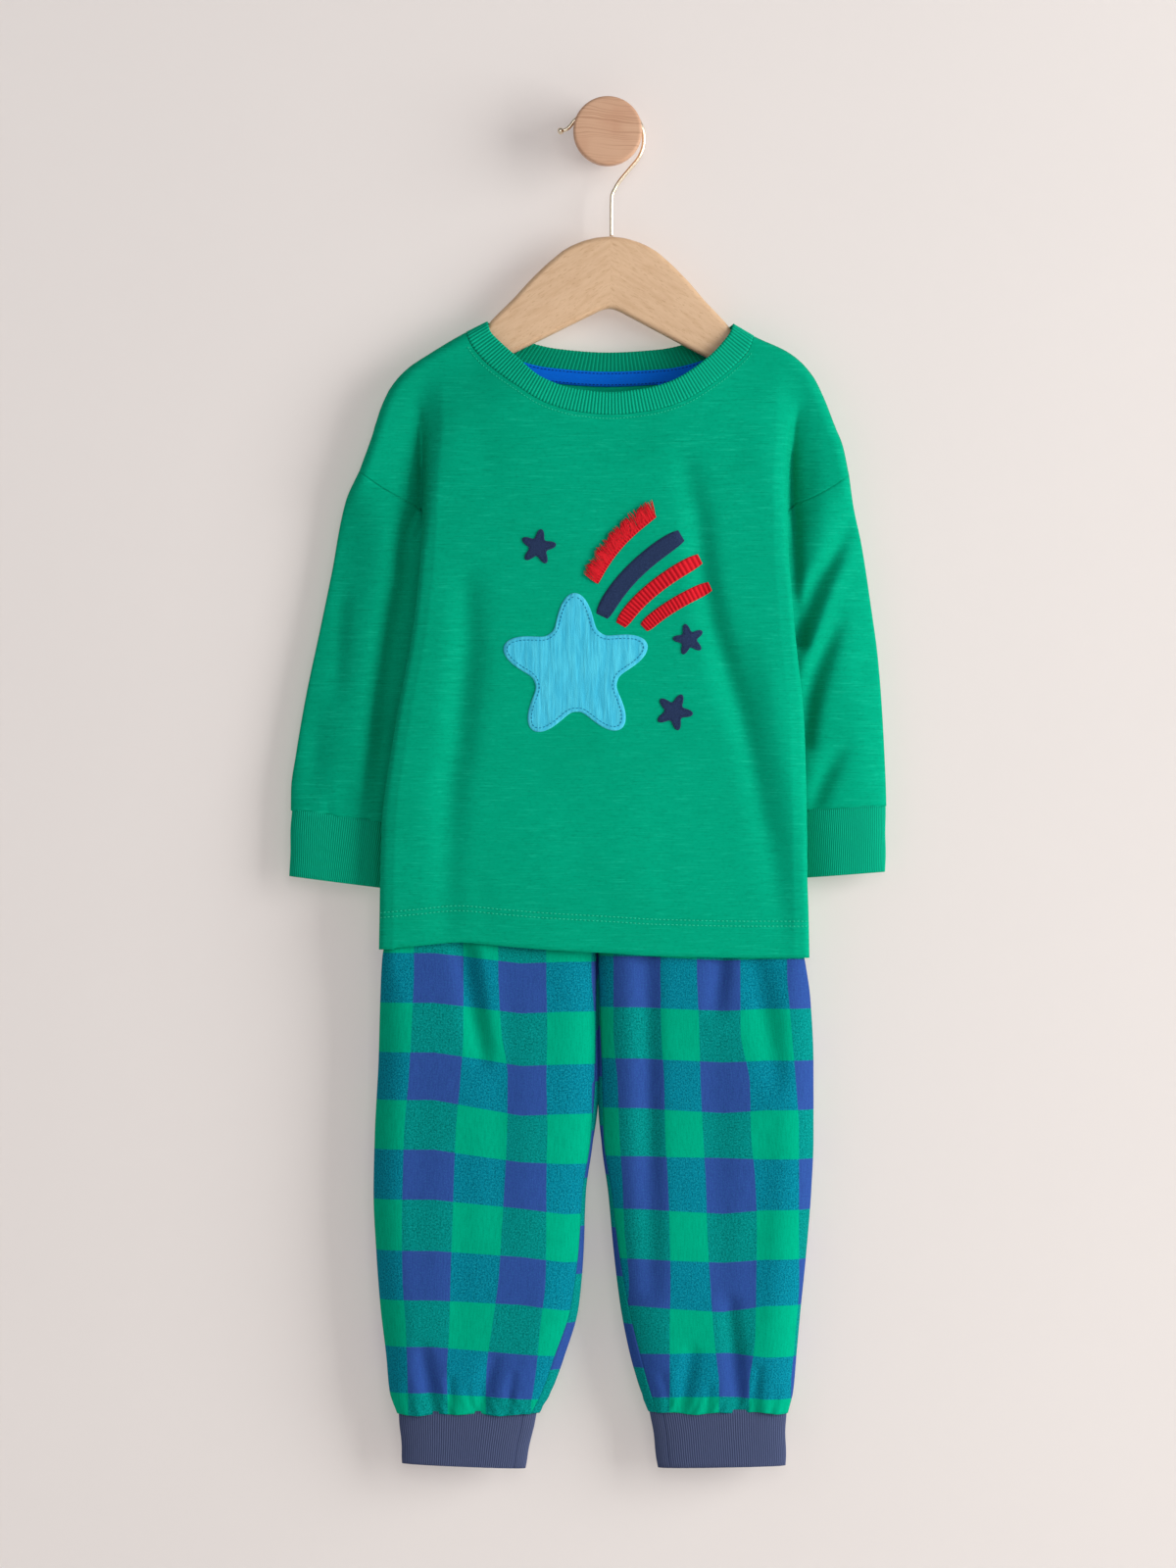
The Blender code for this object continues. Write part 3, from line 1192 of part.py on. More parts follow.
def inseam_turn(row, z):
    """Degrees by which the inseam has come round to the front; none above the crotch."""
    return float(row.seam) if z < CROTCH_Z + 0.0001 else 0.0


def leg_front(side, z):
    """The front of a leg as a line of points from the outseam to the inseam."""
    row = leg_section(side, z)
    line = []
    drop = row.edge - row.front
    corner = min(row.rounded, 1.4 * drop)
    for angle in LEG_ANGLES:
        turn = math.radians(angle)
        out = row.outer - corner * (1 - math.cos(turn))
        line.append((out, row.edge - drop * math.sin(turn)))
    across = min(row.turn_in, (row.outer - row.inner) / 3)
    deep = inner_turn(row, z, row.front)
    first = row.outer - corner
    last = row.inner + across
    for k in range(1, FRONT_LEG_FLAT):
        line.append((mix(first, last, k / FRONT_LEG_FLAT), row.front))
    seam = 90 - inseam_turn(row, z)
    for angle in LEG_ANGLES:
        turn = math.radians(angle / 90 * seam)
        line.append((last - across * math.sin(turn), row.front + deep * (1 - math.cos(turn))))
    points = []
    for number, (out, y) in enumerate(line):
        x = side * out
        round_share = min(number, len(line) - 1 - number) / 3
        crown = -0.0012 * min(round_share, 1.0)
        points.append(np.array((x, y + crown + trough(LEG_CREASES, x, z) * min(round_share, 1.0), z)))
    return points


def leg_back(side, z):
    """The back of a leg from the outseam to the inseam, which comes round to the front lower down."""
    row = leg_section(side, z)
    line = []
    drop = row.back - row.edge
    for angle in LEG_ANGLES:
        turn = math.radians(angle)
        out = row.outer - row.rounded * (1 - math.cos(turn))
        line.append((out, row.edge + drop * math.sin(turn)))
    across = min(row.turn_in, (row.outer - row.inner) / 3)
    front_deep = inner_turn(row, z, row.front)
    back_deep = inner_turn(row, z, row.back)
    first = row.outer - row.rounded
    last = row.inner + across
    for k in range(1, BACK_LEG_FLAT):
        line.append((mix(first, last, k / BACK_LEG_FLAT), row.back))
    for angle in LEG_ANGLES:
        turn = math.radians(angle)
        line.append((last - across * math.sin(turn), row.back - back_deep * (1 - math.cos(turn))))
    wrapped = inseam_turn(row, z)
    for share in (0.5, 1.0):
        turn = math.radians(90 - wrapped * share)
        out = last - across * math.sin(turn)
        y = row.front + front_deep * (1 - math.cos(turn))
        line.append((out, y))
    return [np.array((side * out, y, z)) for out, y in line]


def make_leg(side, word):
    front = np.array([leg_front(side, z) for z in LEG_ROWS])
    back = np.array([leg_back(side, z) for z in LEG_ROWS])
    front[-1, :, 2] = LEG_END[side]
    back[-1, :, 2] = LEG_END[side]
    back[:, 0, 1] += SEAM_GAP
    main = back[:, :-2]
    main[:, -1, 1] += SEAM_GAP
    below = [i for i, z in enumerate(LEG_ROWS) if inseam_turn(leg_section(side, z), z) > 0]
    wrap = back[below][:, -3:]
    reach = wrap[:, -2] - wrap[:, -1]
    wrap[:, -1] += reach / np.linalg.norm(reach, axis=1, keepdims=True) * SEAM_GAP
    wrap[:, 0] = main[below][:, -1]
    add_cloth(f"leg_front_{word}", [front], FLANNEL, CHECK_GREEN, 0.95, flip=side < 0)
    add_cloth(f"leg_back_{word}", [main, wrap], FLANNEL, CHECK_GREEN, 0.95, flip=side > 0)


def make_waistband():
    rings = []
    for z in (WAIST_TOP_Z, WAIST_BOTTOM_Z):
        row = CuffEnd(z=z, slant=0.0, **WAIST_SIDES)
        ring = oval(row, 1, WAIST_POINTS, WAIST_POWER)
        rings.append(np.concatenate([ring, ring[:1]]))
    return add_cloth("waistband", [rings], WAIST_WALL, CHECK_GREEN, 0.95, closed=True)


# hanger, hook and peg


def make_hanger():
    half = list(HANGER_TOP) + list(HANGER_UNDER)
    outline = [(p.out, p.down) for p in half] + [(0.0, HANGER_APEX)]
    outline += [(-p.out, p.down) for p in half[:0:-1]]
    tilt = math.radians(HANGER_TILT)
    work = bmesh.new()
    ring = []
    for out, down in outline:
        x = out * math.cos(tilt) + down * math.sin(tilt)
        z = out * math.sin(tilt) - down * math.cos(tilt)
        place = (HANGER_CENTRE[0] + x, RIDGE_Y - HANGER_THICK / 2, HANGER_CENTRE[1] + z)
        ring.append(work.verts.new(place))
    face = work.faces.new(ring)
    grown = bmesh.ops.extrude_face_region(work, geom=[face])
    moved = [item for item in grown["geom"] if isinstance(item, bmesh.types.BMVert)]
    bmesh.ops.translate(work, verts=moved, vec=(0, HANGER_THICK, 0))
    bmesh.ops.recalc_face_normals(work, faces=work.faces)
    mesh = bpy.data.meshes.new("hanger")
    work.to_mesh(mesh)
    work.free()
    piece = add_object("hanger", mesh, BEECH, 0.5)
    bevel = piece.modifiers.new("rounded edge", "BEVEL")
    bevel.width = HANGER_ROUND
    bevel.segments = 2
    bevel.limit_method = "ANGLE"
    bevel.angle_limit = math.radians(60)
    return piece


def hook_route():
    points = [(p.x, p.z) for p in HOOK_STEM]
    for k in range(HOOK_BEND_STEPS + 1):
        angle = math.radians(mix(HOOK["from"], HOOK["to"], k / HOOK_BEND_STEPS))
        x = HOOK["centre_x"] + HOOK["radius"] * math.cos(angle)
        z = HOOK["centre_z"] + HOOK["radius"] * math.sin(angle)
        points.append((x, z))
    return points + [(p.x, p.z) for p in HOOK_TAIL]


def make_hook():
    """Wire of round section swept along the route, with a rounded cap on its free end."""
    route = hook_route()
    knots = np.arange(len(route), dtype=float)
    dense = []
    for t in np.linspace(0, len(route) - 1, 400):
        x = float(smooth(knots, [p[0] for p in route], t))
        z = float(smooth(knots, [p[1] for p in route], t))
        dense.append((x, z))
    even = resample(dense, HOOK_RINGS)
    length = (HOOK_RINGS - 1) * float(np.linalg.norm(even[1] - even[0]))
    step = length / (HOOK_RINGS - 1)
    fine = resample(dense, 2001)
    ends = [length - CAP_START - 0.0004, length - CAP_START, length - 0.0008, length]
    radii = [WIRE_R, CAP_RADIUS, CAP_RADIUS, CAP_RADIUS * 0.6]
    stops = [(i * step, WIRE_R) for i in range(HOOK_RINGS) if i * step < ends[0] - step / 2]
    stops += list(zip(ends, radii))
    points = []
    for reach, radius in stops:
        k = min(max(int(reach / length * 2000), 1), 1999)
        x, z = fine[min(int(round(reach / length * 2000)), 2000)]
        run = fine[k + 1] - fine[k - 1]
        run /= np.linalg.norm(run)
        for turn in np.arange(HOOK_SIDES) * 2 * math.pi / HOOK_SIDES:
            away = radius * math.cos(turn)
            points.append((x - run[1] * away, RIDGE_Y + radius * math.sin(turn), z + run[0] * away))
    faces = []
    last = len(stops) - 1
    for i in range(last):
        for j in range(HOOK_SIDES):
            k = (j + 1) % HOOK_SIDES
            a = i * HOOK_SIDES
            faces.append((a + k, a + j, a + HOOK_SIDES + j, a + HOOK_SIDES + k))
    faces.append(tuple(range(HOOK_SIDES)))
    faces.append(tuple(last * HOOK_SIDES + j for j in range(HOOK_SIDES))[::-1])
    return add_object("hook", mesh_from("hook", points, faces), BRASS, 0.3, 1.0, smooth_angle=50)


def make_knob():
    """Turned peg, its axis along Y and its flat back on the wall."""
    work = bmesh.new()
    rings = []
    for point in KNOB:
        ring = []
        for k in range(KNOB_SIDES):
            angle = 2 * math.pi * k / KNOB_SIDES
            ring.append(work.verts.new((point.r * math.cos(angle), -point.out, point.r * math.sin(angle))))
        rings.append(ring)
    for a, b in zip(rings[:-1], rings[1:]):
        for k in range(KNOB_SIDES):
            j = (k + 1) % KNOB_SIDES
            work.faces.new((a[k], a[j], b[j], b[k]))
    work.faces.new(rings[0])
    work.faces.new(rings[-1])
    bmesh.ops.recalc_face_normals(work, faces=work.faces)
    mesh = bpy.data.meshes.new("knob")
    work.to_mesh(mesh)
    work.free()
    return add_object("knob", mesh, PINE, 0.55)


def build():
    for item in list(bpy.data.objects):
        bpy.data.objects.remove(item, do_unlink=True)
    front = make_top_front()
    make_top_back()
    make_sleeve(-1, "sleeve_left")
    make_sleeve(1, "sleeve_right")
    make_cuff("cuff_left", WRIST[-1], -1, WRIST_RIBS, RIB_GREEN)
    make_cuff("cuff_right", WRIST[1], 1, WRIST_RIBS, RIB_GREEN)
    make_neckband()
    make_tape()
    make_tab()
    make_applique(front)
    make_leg(-1, "left")
    make_leg(1, "right")
    make_waistband()
    make_cuff("ankle_left", ANKLE[-1], -1, ANKLE_RIBS, NAVY_RIB)
    make_cuff("ankle_right", ANKLE[1], 1, ANKLE_RIBS, NAVY_RIB)
    make_hanger()
    make_hook()
    make_knob()


build()
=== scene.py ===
import math

import bpy
import numpy as np
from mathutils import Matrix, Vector
from mathutils.bvhtree import BVHTree


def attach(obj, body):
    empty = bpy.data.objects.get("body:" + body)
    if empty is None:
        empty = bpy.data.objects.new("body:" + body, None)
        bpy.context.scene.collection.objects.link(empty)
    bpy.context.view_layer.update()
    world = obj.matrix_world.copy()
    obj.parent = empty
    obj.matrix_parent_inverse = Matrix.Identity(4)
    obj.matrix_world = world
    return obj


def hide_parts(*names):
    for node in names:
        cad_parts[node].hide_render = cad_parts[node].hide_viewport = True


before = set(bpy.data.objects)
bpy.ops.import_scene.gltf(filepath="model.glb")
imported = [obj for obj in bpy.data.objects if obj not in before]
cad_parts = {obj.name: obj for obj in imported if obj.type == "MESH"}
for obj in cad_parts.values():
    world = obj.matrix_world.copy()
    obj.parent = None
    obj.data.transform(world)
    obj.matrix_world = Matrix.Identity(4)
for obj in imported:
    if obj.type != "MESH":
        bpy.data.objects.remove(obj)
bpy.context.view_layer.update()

mm = 0.001
draw = np.random.default_rng(11)
words = {-1: "left", 1: "right"}
edgeOf = {-1: 0, 1: -1}  # a side's end in a list that runs from left to right
toFront, toBack = (0, -1, 0), (0, 1, 0)
print("frame loaded", len(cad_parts), "nodes")


# curves and numbers

def smoothLine(knots, values, at):  # monotone, so it never swings past a value in its table
    x = np.asarray(knots, float)
    y = np.asarray(values, float)[np.argsort(x)]
    x = np.sort(x)
    at = np.clip(at, x[0], x[-1])
    step = np.diff(x)
    rise = np.diff(y) / step
    slope = np.zeros(len(x))
    slope[0], slope[-1] = rise[0], rise[-1]
    for i in range(1, len(x) - 1):
        if rise[i - 1] * rise[i] > 0:
            first, second = 2 * step[i] + step[i - 1], step[i] + 2 * step[i - 1]
            slope[i] = (first + second) / (first / rise[i - 1] + second / rise[i])
    i = np.clip(np.searchsorted(x, at) - 1, 0, len(step) - 1)
    t = (at - x[i]) / step[i]
    return (y[i] * (1 + 2 * t) * (1 - t) ** 2 + slope[i] * step[i] * t * (1 - t) ** 2
            + y[i + 1] * t * t * (3 - 2 * t) + slope[i + 1] * step[i] * t * t * (t - 1))


def ease(t):
    t = np.clip(t, 0, 1)
    return t * t * (3 - 2 * t)


def mix(a, b, t):
    return a + (b - a) * t


def read(piece, column, z):  # a column of a piece's table at any height, tables are in mm
    return smoothLine(piece["z"], piece[column], np.asarray(z) / mm) * mm


def tableAt(line, x):  # a table of pairs in mm, read at any first value of a pair
    line = np.array(line) * mm
    return smoothLine(line[:, 0], line[:, 1], x)


def unit(vectors):
    return vectors / (np.linalg.norm(vectors, axis=-1, keepdims=True) + 1e-12)


def reachOf(points):  # how far along a line each of its points lies
    return np.concatenate([[0], np.cumsum(np.linalg.norm(np.diff(points, axis=0), axis=1))])


def placesAt(at, reach, points):
    return np.stack([np.interp(at, reach, values) for values in np.transpose(points)], 1)


def resample(points, count):
    points = np.asarray(points, float)
    reach = reachOf(points)
    return placesAt(np.linspace(0, reach[-1], count), reach, points)


def evenLine(points, count):  # a smooth line through points of x and z, in even steps
    points = np.array(points) * mm
    reach = reachOf(points)
    at = np.linspace(0, reach[-1], count)
    return np.stack([smoothLine(reach, points[:, 0], at), smoothLine(reach, points[:, 1], at)], 1)


def nearest(start, end, x, z):  # the share along a straight run that is nearest, and the distance
    dx, dz = end[0] - start[0], end[1] - start[1]
    near = np.clip(((x - start[0]) * dx + (z - start[1]) * dz) / (dx * dx + dz * dz), 0, 1)
    return near, np.hypot(x - start[0] - near * dx, z - start[1] - near * dz)


def distanceTo(line, x, z):
    best = np.full(np.broadcast(x, z).shape, 1.0)
    for start, end in zip(line[:-1], line[1:]):
        best = np.minimum(best, nearest(start, end, x, z)[1])
    return best


def creased(creases, x, z):  # soft troughs, and ridges where the depth is negative
    total = np.zeros(np.broadcast(x, z).shape)
    for x0, z0, x1, z1, width, depth in np.array(creases) * mm:
        near, away = nearest((x0, z0), (x1, z1), x, z)
        swell = 0.35 + 0.65 * np.sin(math.pi * mix(0.15, 0.85, near))
        total += depth * swell * np.exp(-(away / width) ** 2)
    return total


def troughs(lines, x, z):  # long valleys, each one a width and its places with the depth there
    total = np.zeros(np.broadcast(x, z).shape)
    for width, line in lines:
        line = np.array(line) * mm
        best, deep = np.full(total.shape, 1.0), np.zeros(total.shape)
        for start, end in zip(line[:-1], line[1:]):
            near, away = nearest(start, end, x, z)
            deep = np.where(away < best, mix(start[2], end[2], near), deep)
            best = np.minimum(best, away)
        total += deep * np.exp(-(best / (width * mm)) ** 2)
    return total


def uneven(x, z, size, seed):  # gentle unevenness, about -1 to 1
    turn = np.random.default_rng(seed)
    total = 0
    for k in range(7):
        angle, phase, stretch = turn.uniform(0, math.pi), turn.uniform(0, 6.28), turn.uniform(0.7, 1.6)
        wave = x * math.cos(angle) + z * math.sin(angle) * 0.6
        total = total + np.sin(wave / size / stretch * 6.28 + phase)
    return total / 3.2


# meshes

weld = 2e-6  # points nearer than this become one


def sheetFaces(grid, toward):
    rows, columns = grid.shape[:2]
    index = np.arange(rows * columns).reshape(rows, columns)
    quads = np.stack([index[:-1, :-1], index[:-1, 1:], index[1:, 1:], index[1:, :-1]], -1).reshape(-1, 4)
    p = grid.reshape(-1, 3)[quads]
    facing = np.cross(p[:, 2] - p[:, 0], p[:, 3] - p[:, 1])
    if toward is None:  # a tube faces away from the middle of its rings
        middle = np.repeat(grid.mean(axis=1)[:-1], columns - 1, axis=0)
        outward = p.mean(axis=1) - middle
    else:
        outward = np.asarray(toward, float)
    return quads[:, ::-1] if np.sum(facing * outward) < 0 else quads


def clothMesh(name, sheets, marks=None, toward=None):
    points, faces, notes, start = [], [], [], 0
    for number, grid in enumerate(sheets):
        points.append(grid.reshape(-1, 3))
        faces.append(sheetFaces(grid, toward) + start)
        if marks is not None:
            notes.append(marks[number].reshape(-1, 3))
        start += grid.shape[0] * grid.shape[1]
    points, faces = np.concatenate(points), np.concatenate(faces)
    places = np.round(points / weld).astype(int)
    _, first, merged = np.unique(places, axis=0, return_index=True, return_inverse=True)
    faces = merged.reshape(-1)[faces]
    kept = []
    for face in faces.tolist():
        corners = [v for k, v in enumerate(face) if v != face[k - 1]]
        if len(corners) > 2 and len(set(corners)) == len(corners):
            kept.append(corners)
    mesh = bpy.data.meshes.new(name)
    mesh.from_pydata(points[first].tolist(), [], kept)
    if marks is not None:
        own = mesh.attributes.new("cut", "FLOAT_VECTOR", "POINT")
        own.data.foreach_set("vector", np.concatenate(notes)[first].astype(np.float32).ravel())
    mesh.shade_smooth()
    return mesh


def addPiece(name, mesh, finish, slotName, stands=(), thick=0.0):
    piece = bpy.data.objects.new(name, mesh)
    bpy.context.scene.collection.objects.link(piece)
    mesh.materials.append(finish)
    if thick:
        wall = piece.modifiers.new("wall", "SOLIDIFY")
        wall.thickness = thick * mm
        wall.offset = -1
    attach(piece, "root")
    if stands:
        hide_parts(*stands)
    return piece


def clothPiece(name, sheets, finish, slotName, node, thick=0.0, marks=None, toward=None):
    return addPiece(name, clothMesh(name, sheets, marks, toward), finish, slotName, (node,), thick)


def surfaceOf(mesh):  # gives the face of a piece in front of any place, seen from -Y or from +Y
    tree = BVHTree.FromPolygons([v.co for v in mesh.vertices], [p.vertices for p in mesh.polygons])

    def lift(x, z, height, way=1):
        place, normal, _, _ = tree.ray_cast(Vector((x, -way, z)), Vector((0, way, 0)))
        if place is None:
            return None, None
        if normal.y * way > 0:
            normal = -normal
        return np.array(place + normal * height), np.array(normal)

    return lift


def loftFaces(rings, sides):  # faces over closed rings of points, with both ends capped
    faces = []
    for low in range(0, (rings - 1) * sides, sides):
        for j in range(sides):
            k = (j + 1) % sides
            faces.append((low + j, low + k, low + sides + k, low + sides + j))
    last = (rings - 1) * sides
    return faces + [tuple(range(sides))[::-1], tuple(range(last, last + sides))]


def solidPiece(name, rings, finish, slotName, node, sharp=None):
    mesh = bpy.data.meshes.new(name)
    mesh.from_pydata(np.concatenate(rings).tolist(), [], loftFaces(len(rings), len(rings[0])))
    mesh.shade_smooth()
    if sharp:
        mesh.set_sharp_from_angle(angle=math.radians(sharp))
    return addPiece(name, mesh, finish, slotName, (node,))


thread = {"sides": 5, "ends": 0.45, "dip": 0.12}  # the ends are thinner and dip into the cloth, in mm


def threadTube(route, radius):  # points and faces of one thread along a route
    route = np.asarray(route, float)
    run = unit(np.gradient(route, axis=0))
    across = unit(np.cross(run, (0.13, -1.0, 0.21)))
    up = np.cross(run, across)
    size = np.full(len(route), radius)
    size[[0, -1]] *= thread["ends"]
    turns = np.arange(thread["sides"]) * 2 * math.pi / thread["sides"]
    points = (route[:, None] + across[:, None] * (np.cos(turns)[:, None] * size[:, None, None])
              + up[:, None] * (np.sin(turns)[:, None] * size[:, None, None])).reshape(-1, 3)
    return points, loftFaces(len(route), thread["sides"])


def threadPiece(name, threads, finish, slotName, stands=()):  # many threads in one piece
    points, faces, start = [], [], 0
    for some, own in threads:
        points.append(some)
        faces += [tuple(v + start for v in face) for face in own]
        start += len(some)
    mesh = bpy.data.meshes.new(name)
    mesh.from_pydata(np.concatenate(points).tolist(), [], faces)
    mesh.shade_smooth()
    return addPiece(name, mesh, finish, slotName, stands)


def stitches(line, normals, pitch, share, radius, rise):  # short threads along a line on a cloth, in mm
    line, normals = np.asarray(line, float), np.asarray(normals, float)
    reach = reachOf(line)
    hump = np.sin(np.linspace(0, math.pi, 5))[:, None] * rise - thread["dip"]
    made = []
    for k in range(int(reach[-1] / (pitch * mm))):
        start = (k + 0.5 * (1 - share)) * pitch * mm
        at = np.linspace(start, start + share * pitch * mm, 5)
        route = placesAt(at, reach, line) + placesAt(at, reach, normals) * hump * mm
        made.append(threadTube(route, radius * mm))
    return made


# finishes

class Sock:  # an output of a node, which sums can be written with
    def __init__(self, finish, link):
        self.finish, self.link = finish, link

    def __add__(self, other):
        return self.finish.maths("ADD", self, other)

    def __sub__(self, other):
        return self.finish.maths("SUBTRACT", self, other)

    def __rsub__(self, other):
        return self.finish.maths("SUBTRACT", other, self)

    def __mul__(self, other):
        return self.finish.maths("MULTIPLY", self, other)

    __radd__, __rmul__ = __add__, __mul__


class Finish:
    def __init__(self, name, rough, shine, fixed=None):
        self.material = bpy.data.materials.new(name)
        self.material.use_nodes = True
        self.tree = self.material.node_tree
        self.shader = self.tree.nodes["Principled BSDF"]
        for socket, value in {"Roughness": rough, "Specular IOR Level": shine, **(fixed or {})}.items():
            self.shader.inputs[socket].default_value = value

    def node(self, kind, settings=None, sockets=None, out=0):
        made = self.tree.nodes.new(kind)
        for key, value in (settings or {}).items():
            setattr(made, key, value)
        for key, value in (sockets or {}).items():
            if isinstance(value, Sock):
                self.tree.links.new(value.link, made.inputs[key])
            else:
                made.inputs[key].default_value = value
        return Sock(self, made.outputs[out])

    def place(self):
        return self.node("ShaderNodeTexCoord", out="Object")

    def cut(self):
        return self.node("ShaderNodeAttribute", {"attribute_name": "cut"}, out="Vector")

    def axis(self, vector, name):
        return self.node("ShaderNodeSeparateXYZ", None, {0: vector}, name)

    def joined(self, x, y, z=0.0):
        return self.node("ShaderNodeCombineXYZ", None, {0: x, 1: y, 2: z})

    def noise(self, vector, scale, detail=2.0, rough=0.5):  # three scales stretch it along the axes
        if isinstance(scale, tuple):
            vector = self.node("ShaderNodeVectorMath", {"operation": "MULTIPLY"}, {0: vector, 1: scale})
            scale = 1.0
        sockets = {"Vector": vector, "Scale": scale, "Detail": detail, "Roughness": rough}
        return self.node("ShaderNodeTexNoise", None, sockets)

    def steep(self, value, low, high):  # 0 at low, 1 at high
        sockets = {0: value, 1: low, 2: high}
        return self.node("ShaderNodeMapRange", {"interpolation_type": "SMOOTHSTEP"}, sockets)

    def maths(self, kind, *values):
        return self.node("ShaderNodeMath", {"operation": kind}, dict(enumerate(values)))

    def blend(self, share, a, b):
        a, b = [(*c, 1) if isinstance(c, tuple) else c for c in (a, b)]
        return self.node("ShaderNodeMix", {"data_type": "RGBA"}, {0: share, 6: a, 7: b}, 2)

    def feed(self, socket, value):
        self.tree.links.new(value.link, self.shader.inputs[socket])

    def done(self, tone, height=None, strength=0.0, depth=0.0):  # depth of the relief in mm
        self.feed("Base Color", tone)
        if height:
            relief = {"Strength": strength, "Distance": depth * mm, "Height": height}
            self.feed("Normal", self.node("ShaderNodeBump", None, relief))
        return self.material


def tint(code, by=1.0):  # a colour from its web code
    parts = [int(code[k:k + 2], 16) / 255 for k in (0, 2, 4)]
    return tuple(by * (c / 12.92 if c <= 0.04045 else ((c + 0.055) / 1.055) ** 2.4) for c in parts)


jersey = {"tone": tint("00A07B"), "dark": tint("008664"), "light": tint("16BB94"), "roughness": 0.9}
# the groove tones of the rib knits and the red trim are painted shade for the hollows between ribs
rib = {"tone": tint("0AAE89"), "paintedGrooveShade": tint("048263"), "roughness": 0.95}
flannel = {
    "green": tint("00A882"), "blue": tint("30509A"), "mixedGreen": tint("038E88"), "mixedBlue": tint("05839A"),
    "worn": tint("30BFC0"), "roughness": 1.0,
}
navyRib = {"tone": tint("505A7A"), "paintedGrooveShade": tint("3A4362"), "roughness": 0.95}
gauze = {"tone": tint("55D0EA"), "fold": tint("3BB4D6"), "roughness": 0.85}
felt = {"tone": tint("22304F"), "light": tint("34466C"), "roughness": 0.98}
trim = {"tone": tint("D8232F"), "paintedGrooveShade": tint("A5121E"), "roughness": 0.85}
tape = {"tone": tint("0A74F0"), "dark": tint("0560D4"), "roughness": 0.8}
beech = {"tone": tint("D5B390"), "dark": tint("BE9670"), "fleck": tint("AD835C"), "roughness": 0.46,
         "joint": 0.002, "lean": 33}
pine = {"tone": tint("CAA184"), "late": tint("A97D5F"), "warm": tint("BC8B6E"), "roughness": 0.55}
wire = {"tone": tint("E6DAC6"), "rubbed": tint("CDBB9C"), "roughness": 0.2}
threadTones = {"red fringe thread": "D8202C", "green stitching": "2CC8A0", "sky stitching": "1A86AE",
               "tape stitching": "06357F", "navy stitching": "1B2745"}


def jerseyFinish():
    f = Finish("slub jersey", jersey["roughness"], 0.03)
    place = f.place()
    slub, long = f.noise(place, (66, 66, 1150), 2, 0.6), f.noise(place, (26, 26, 800))
    speck, cloud = f.noise(place, (420, 420, 900), 1), f.noise(place, 20)
    lit = f.steep(slub, 0.54, 0.74) * 0.5 + f.steep(long, 0.58, 0.7) * 0.2
    sunk = f.steep(slub, 0.46, 0.28) * 0.4 + f.steep(speck, 0.45, 0.75) * 0.3
    tone = f.blend(sunk, f.blend(lit, jersey["tone"], jersey["light"]), jersey["dark"])
    tone = f.blend(f.steep(cloud, 0.4, 0.75) * 0.18, tone, jersey["dark"])
    return f.done(tone, slub * 0.6 + long * 0.3 + speck * 0.5, 0.3, 0.3)


def ribFinish(name, look):
    f = Finish(name, look["roughness"], 0.03)
    yarn = f.noise(f.place(), (420, 420, 420), 2, 0.6)
    # points low between ribs get the groove tone, a painted shade
    crest = f.steep(f.axis(f.cut(), "X"), 0.05, 0.8)
    return f.done(f.blend(crest * 0.9 + yarn * 0.1, look["paintedGrooveShade"], look["tone"]), yarn, 0.35, 0.3)


def flannelFinish():
    f = Finish("brushed check flannel", flannel["roughness"], 0.02)
    cut = f.cut()
    across, along = f.axis(cut, "X"), f.axis(cut, "Y")
    frayed = (f.noise(f.place(), 1100, 1) - 0.5) * 0.018
    warpBlue, weftBlue = [f.steep(f.maths("PINGPONG", way + frayed, 1.0), 0.492, 0.508)
                          for way in (across, along)]
    green = f.blend(weftBlue, flannel["green"], flannel["mixedBlue"])
    blue = f.blend(weftBlue, flannel["mixedGreen"], flannel["blue"])
    mixed = f.steep(f.maths("ABSOLUTE", warpBlue - weftBlue), 0.2, 0.9)
    yarn = f.joined(across * 34, along * 34)
    streak, speck = f.noise(yarn, (1.1, 0.09, 1), 2, 0.6), f.noise(yarn, (0.85, 0.85, 1), 3, 0.75)
    twill = f.maths("SINE", (across - along) * 146)
    deep = f.steep(speck + twill * 0.02, 0.56, 0.34) * (mixed * 0.34 + 0.12)
    deep = deep + f.steep(streak, 0.6, 0.35) * 0.12
    worn = f.steep(speck, 0.5, 0.68) * (mixed * 0.2 + weftBlue * 0.06)
    tone = f.blend(deep, f.blend(warpBlue, green, blue), (0.0, 0.0, 0.0))
    return f.done(f.blend(worn, tone, flannel["worn"]), speck + streak * 0.3, 0.35, 0.35)


def gauzeFinish():
    f = Finish("crinkled gauze", gauze["roughness"], 0.1)
    place = f.place()
    crinkle, weave = f.noise(place, (430, 430, 45), 3, 0.6), f.noise(place, (1500, 600, 1500), 1)
    # the fold tone is painted shade, given where the crinkle and so the relief is low
    share = f.steep(crinkle, 0.35, 0.7) * 0.75 + weave * 0.15
    return f.done(f.blend(share, gauze["fold"], gauze["tone"]), crinkle + weave * 0.3, 0.7, 0.8)


def feltFinish():
    f = Finish("navy felt", felt["roughness"], 0.05, {"Sheen Weight": 0.06})
    fuzz = f.noise(f.place(), 1100, 3, 0.7)
    return f.done(f.blend(f.steep(fuzz, 0.35, 0.75) * 0.6, felt["tone"], felt["light"]), fuzz, 0.5, 0.5)


def threadFinish(name):
    f = Finish(name, 0.7, 0.1)
    twist = f.noise(f.place(), 1600, 1)
    code = threadTones[name]
    return f.done(f.blend(twist, tint(code, 0.82), tint(code, 1.1)), twist, 0.3, 0.1)


def tapeFinish():
    f = Finish("woven blue tape", tape["roughness"], 0.05)
    weave = f.noise(f.place(), (300, 300, 2200))
    return f.done(f.blend(weave, tape["dark"], tape["tone"]), weave, 0.4, 0.2)


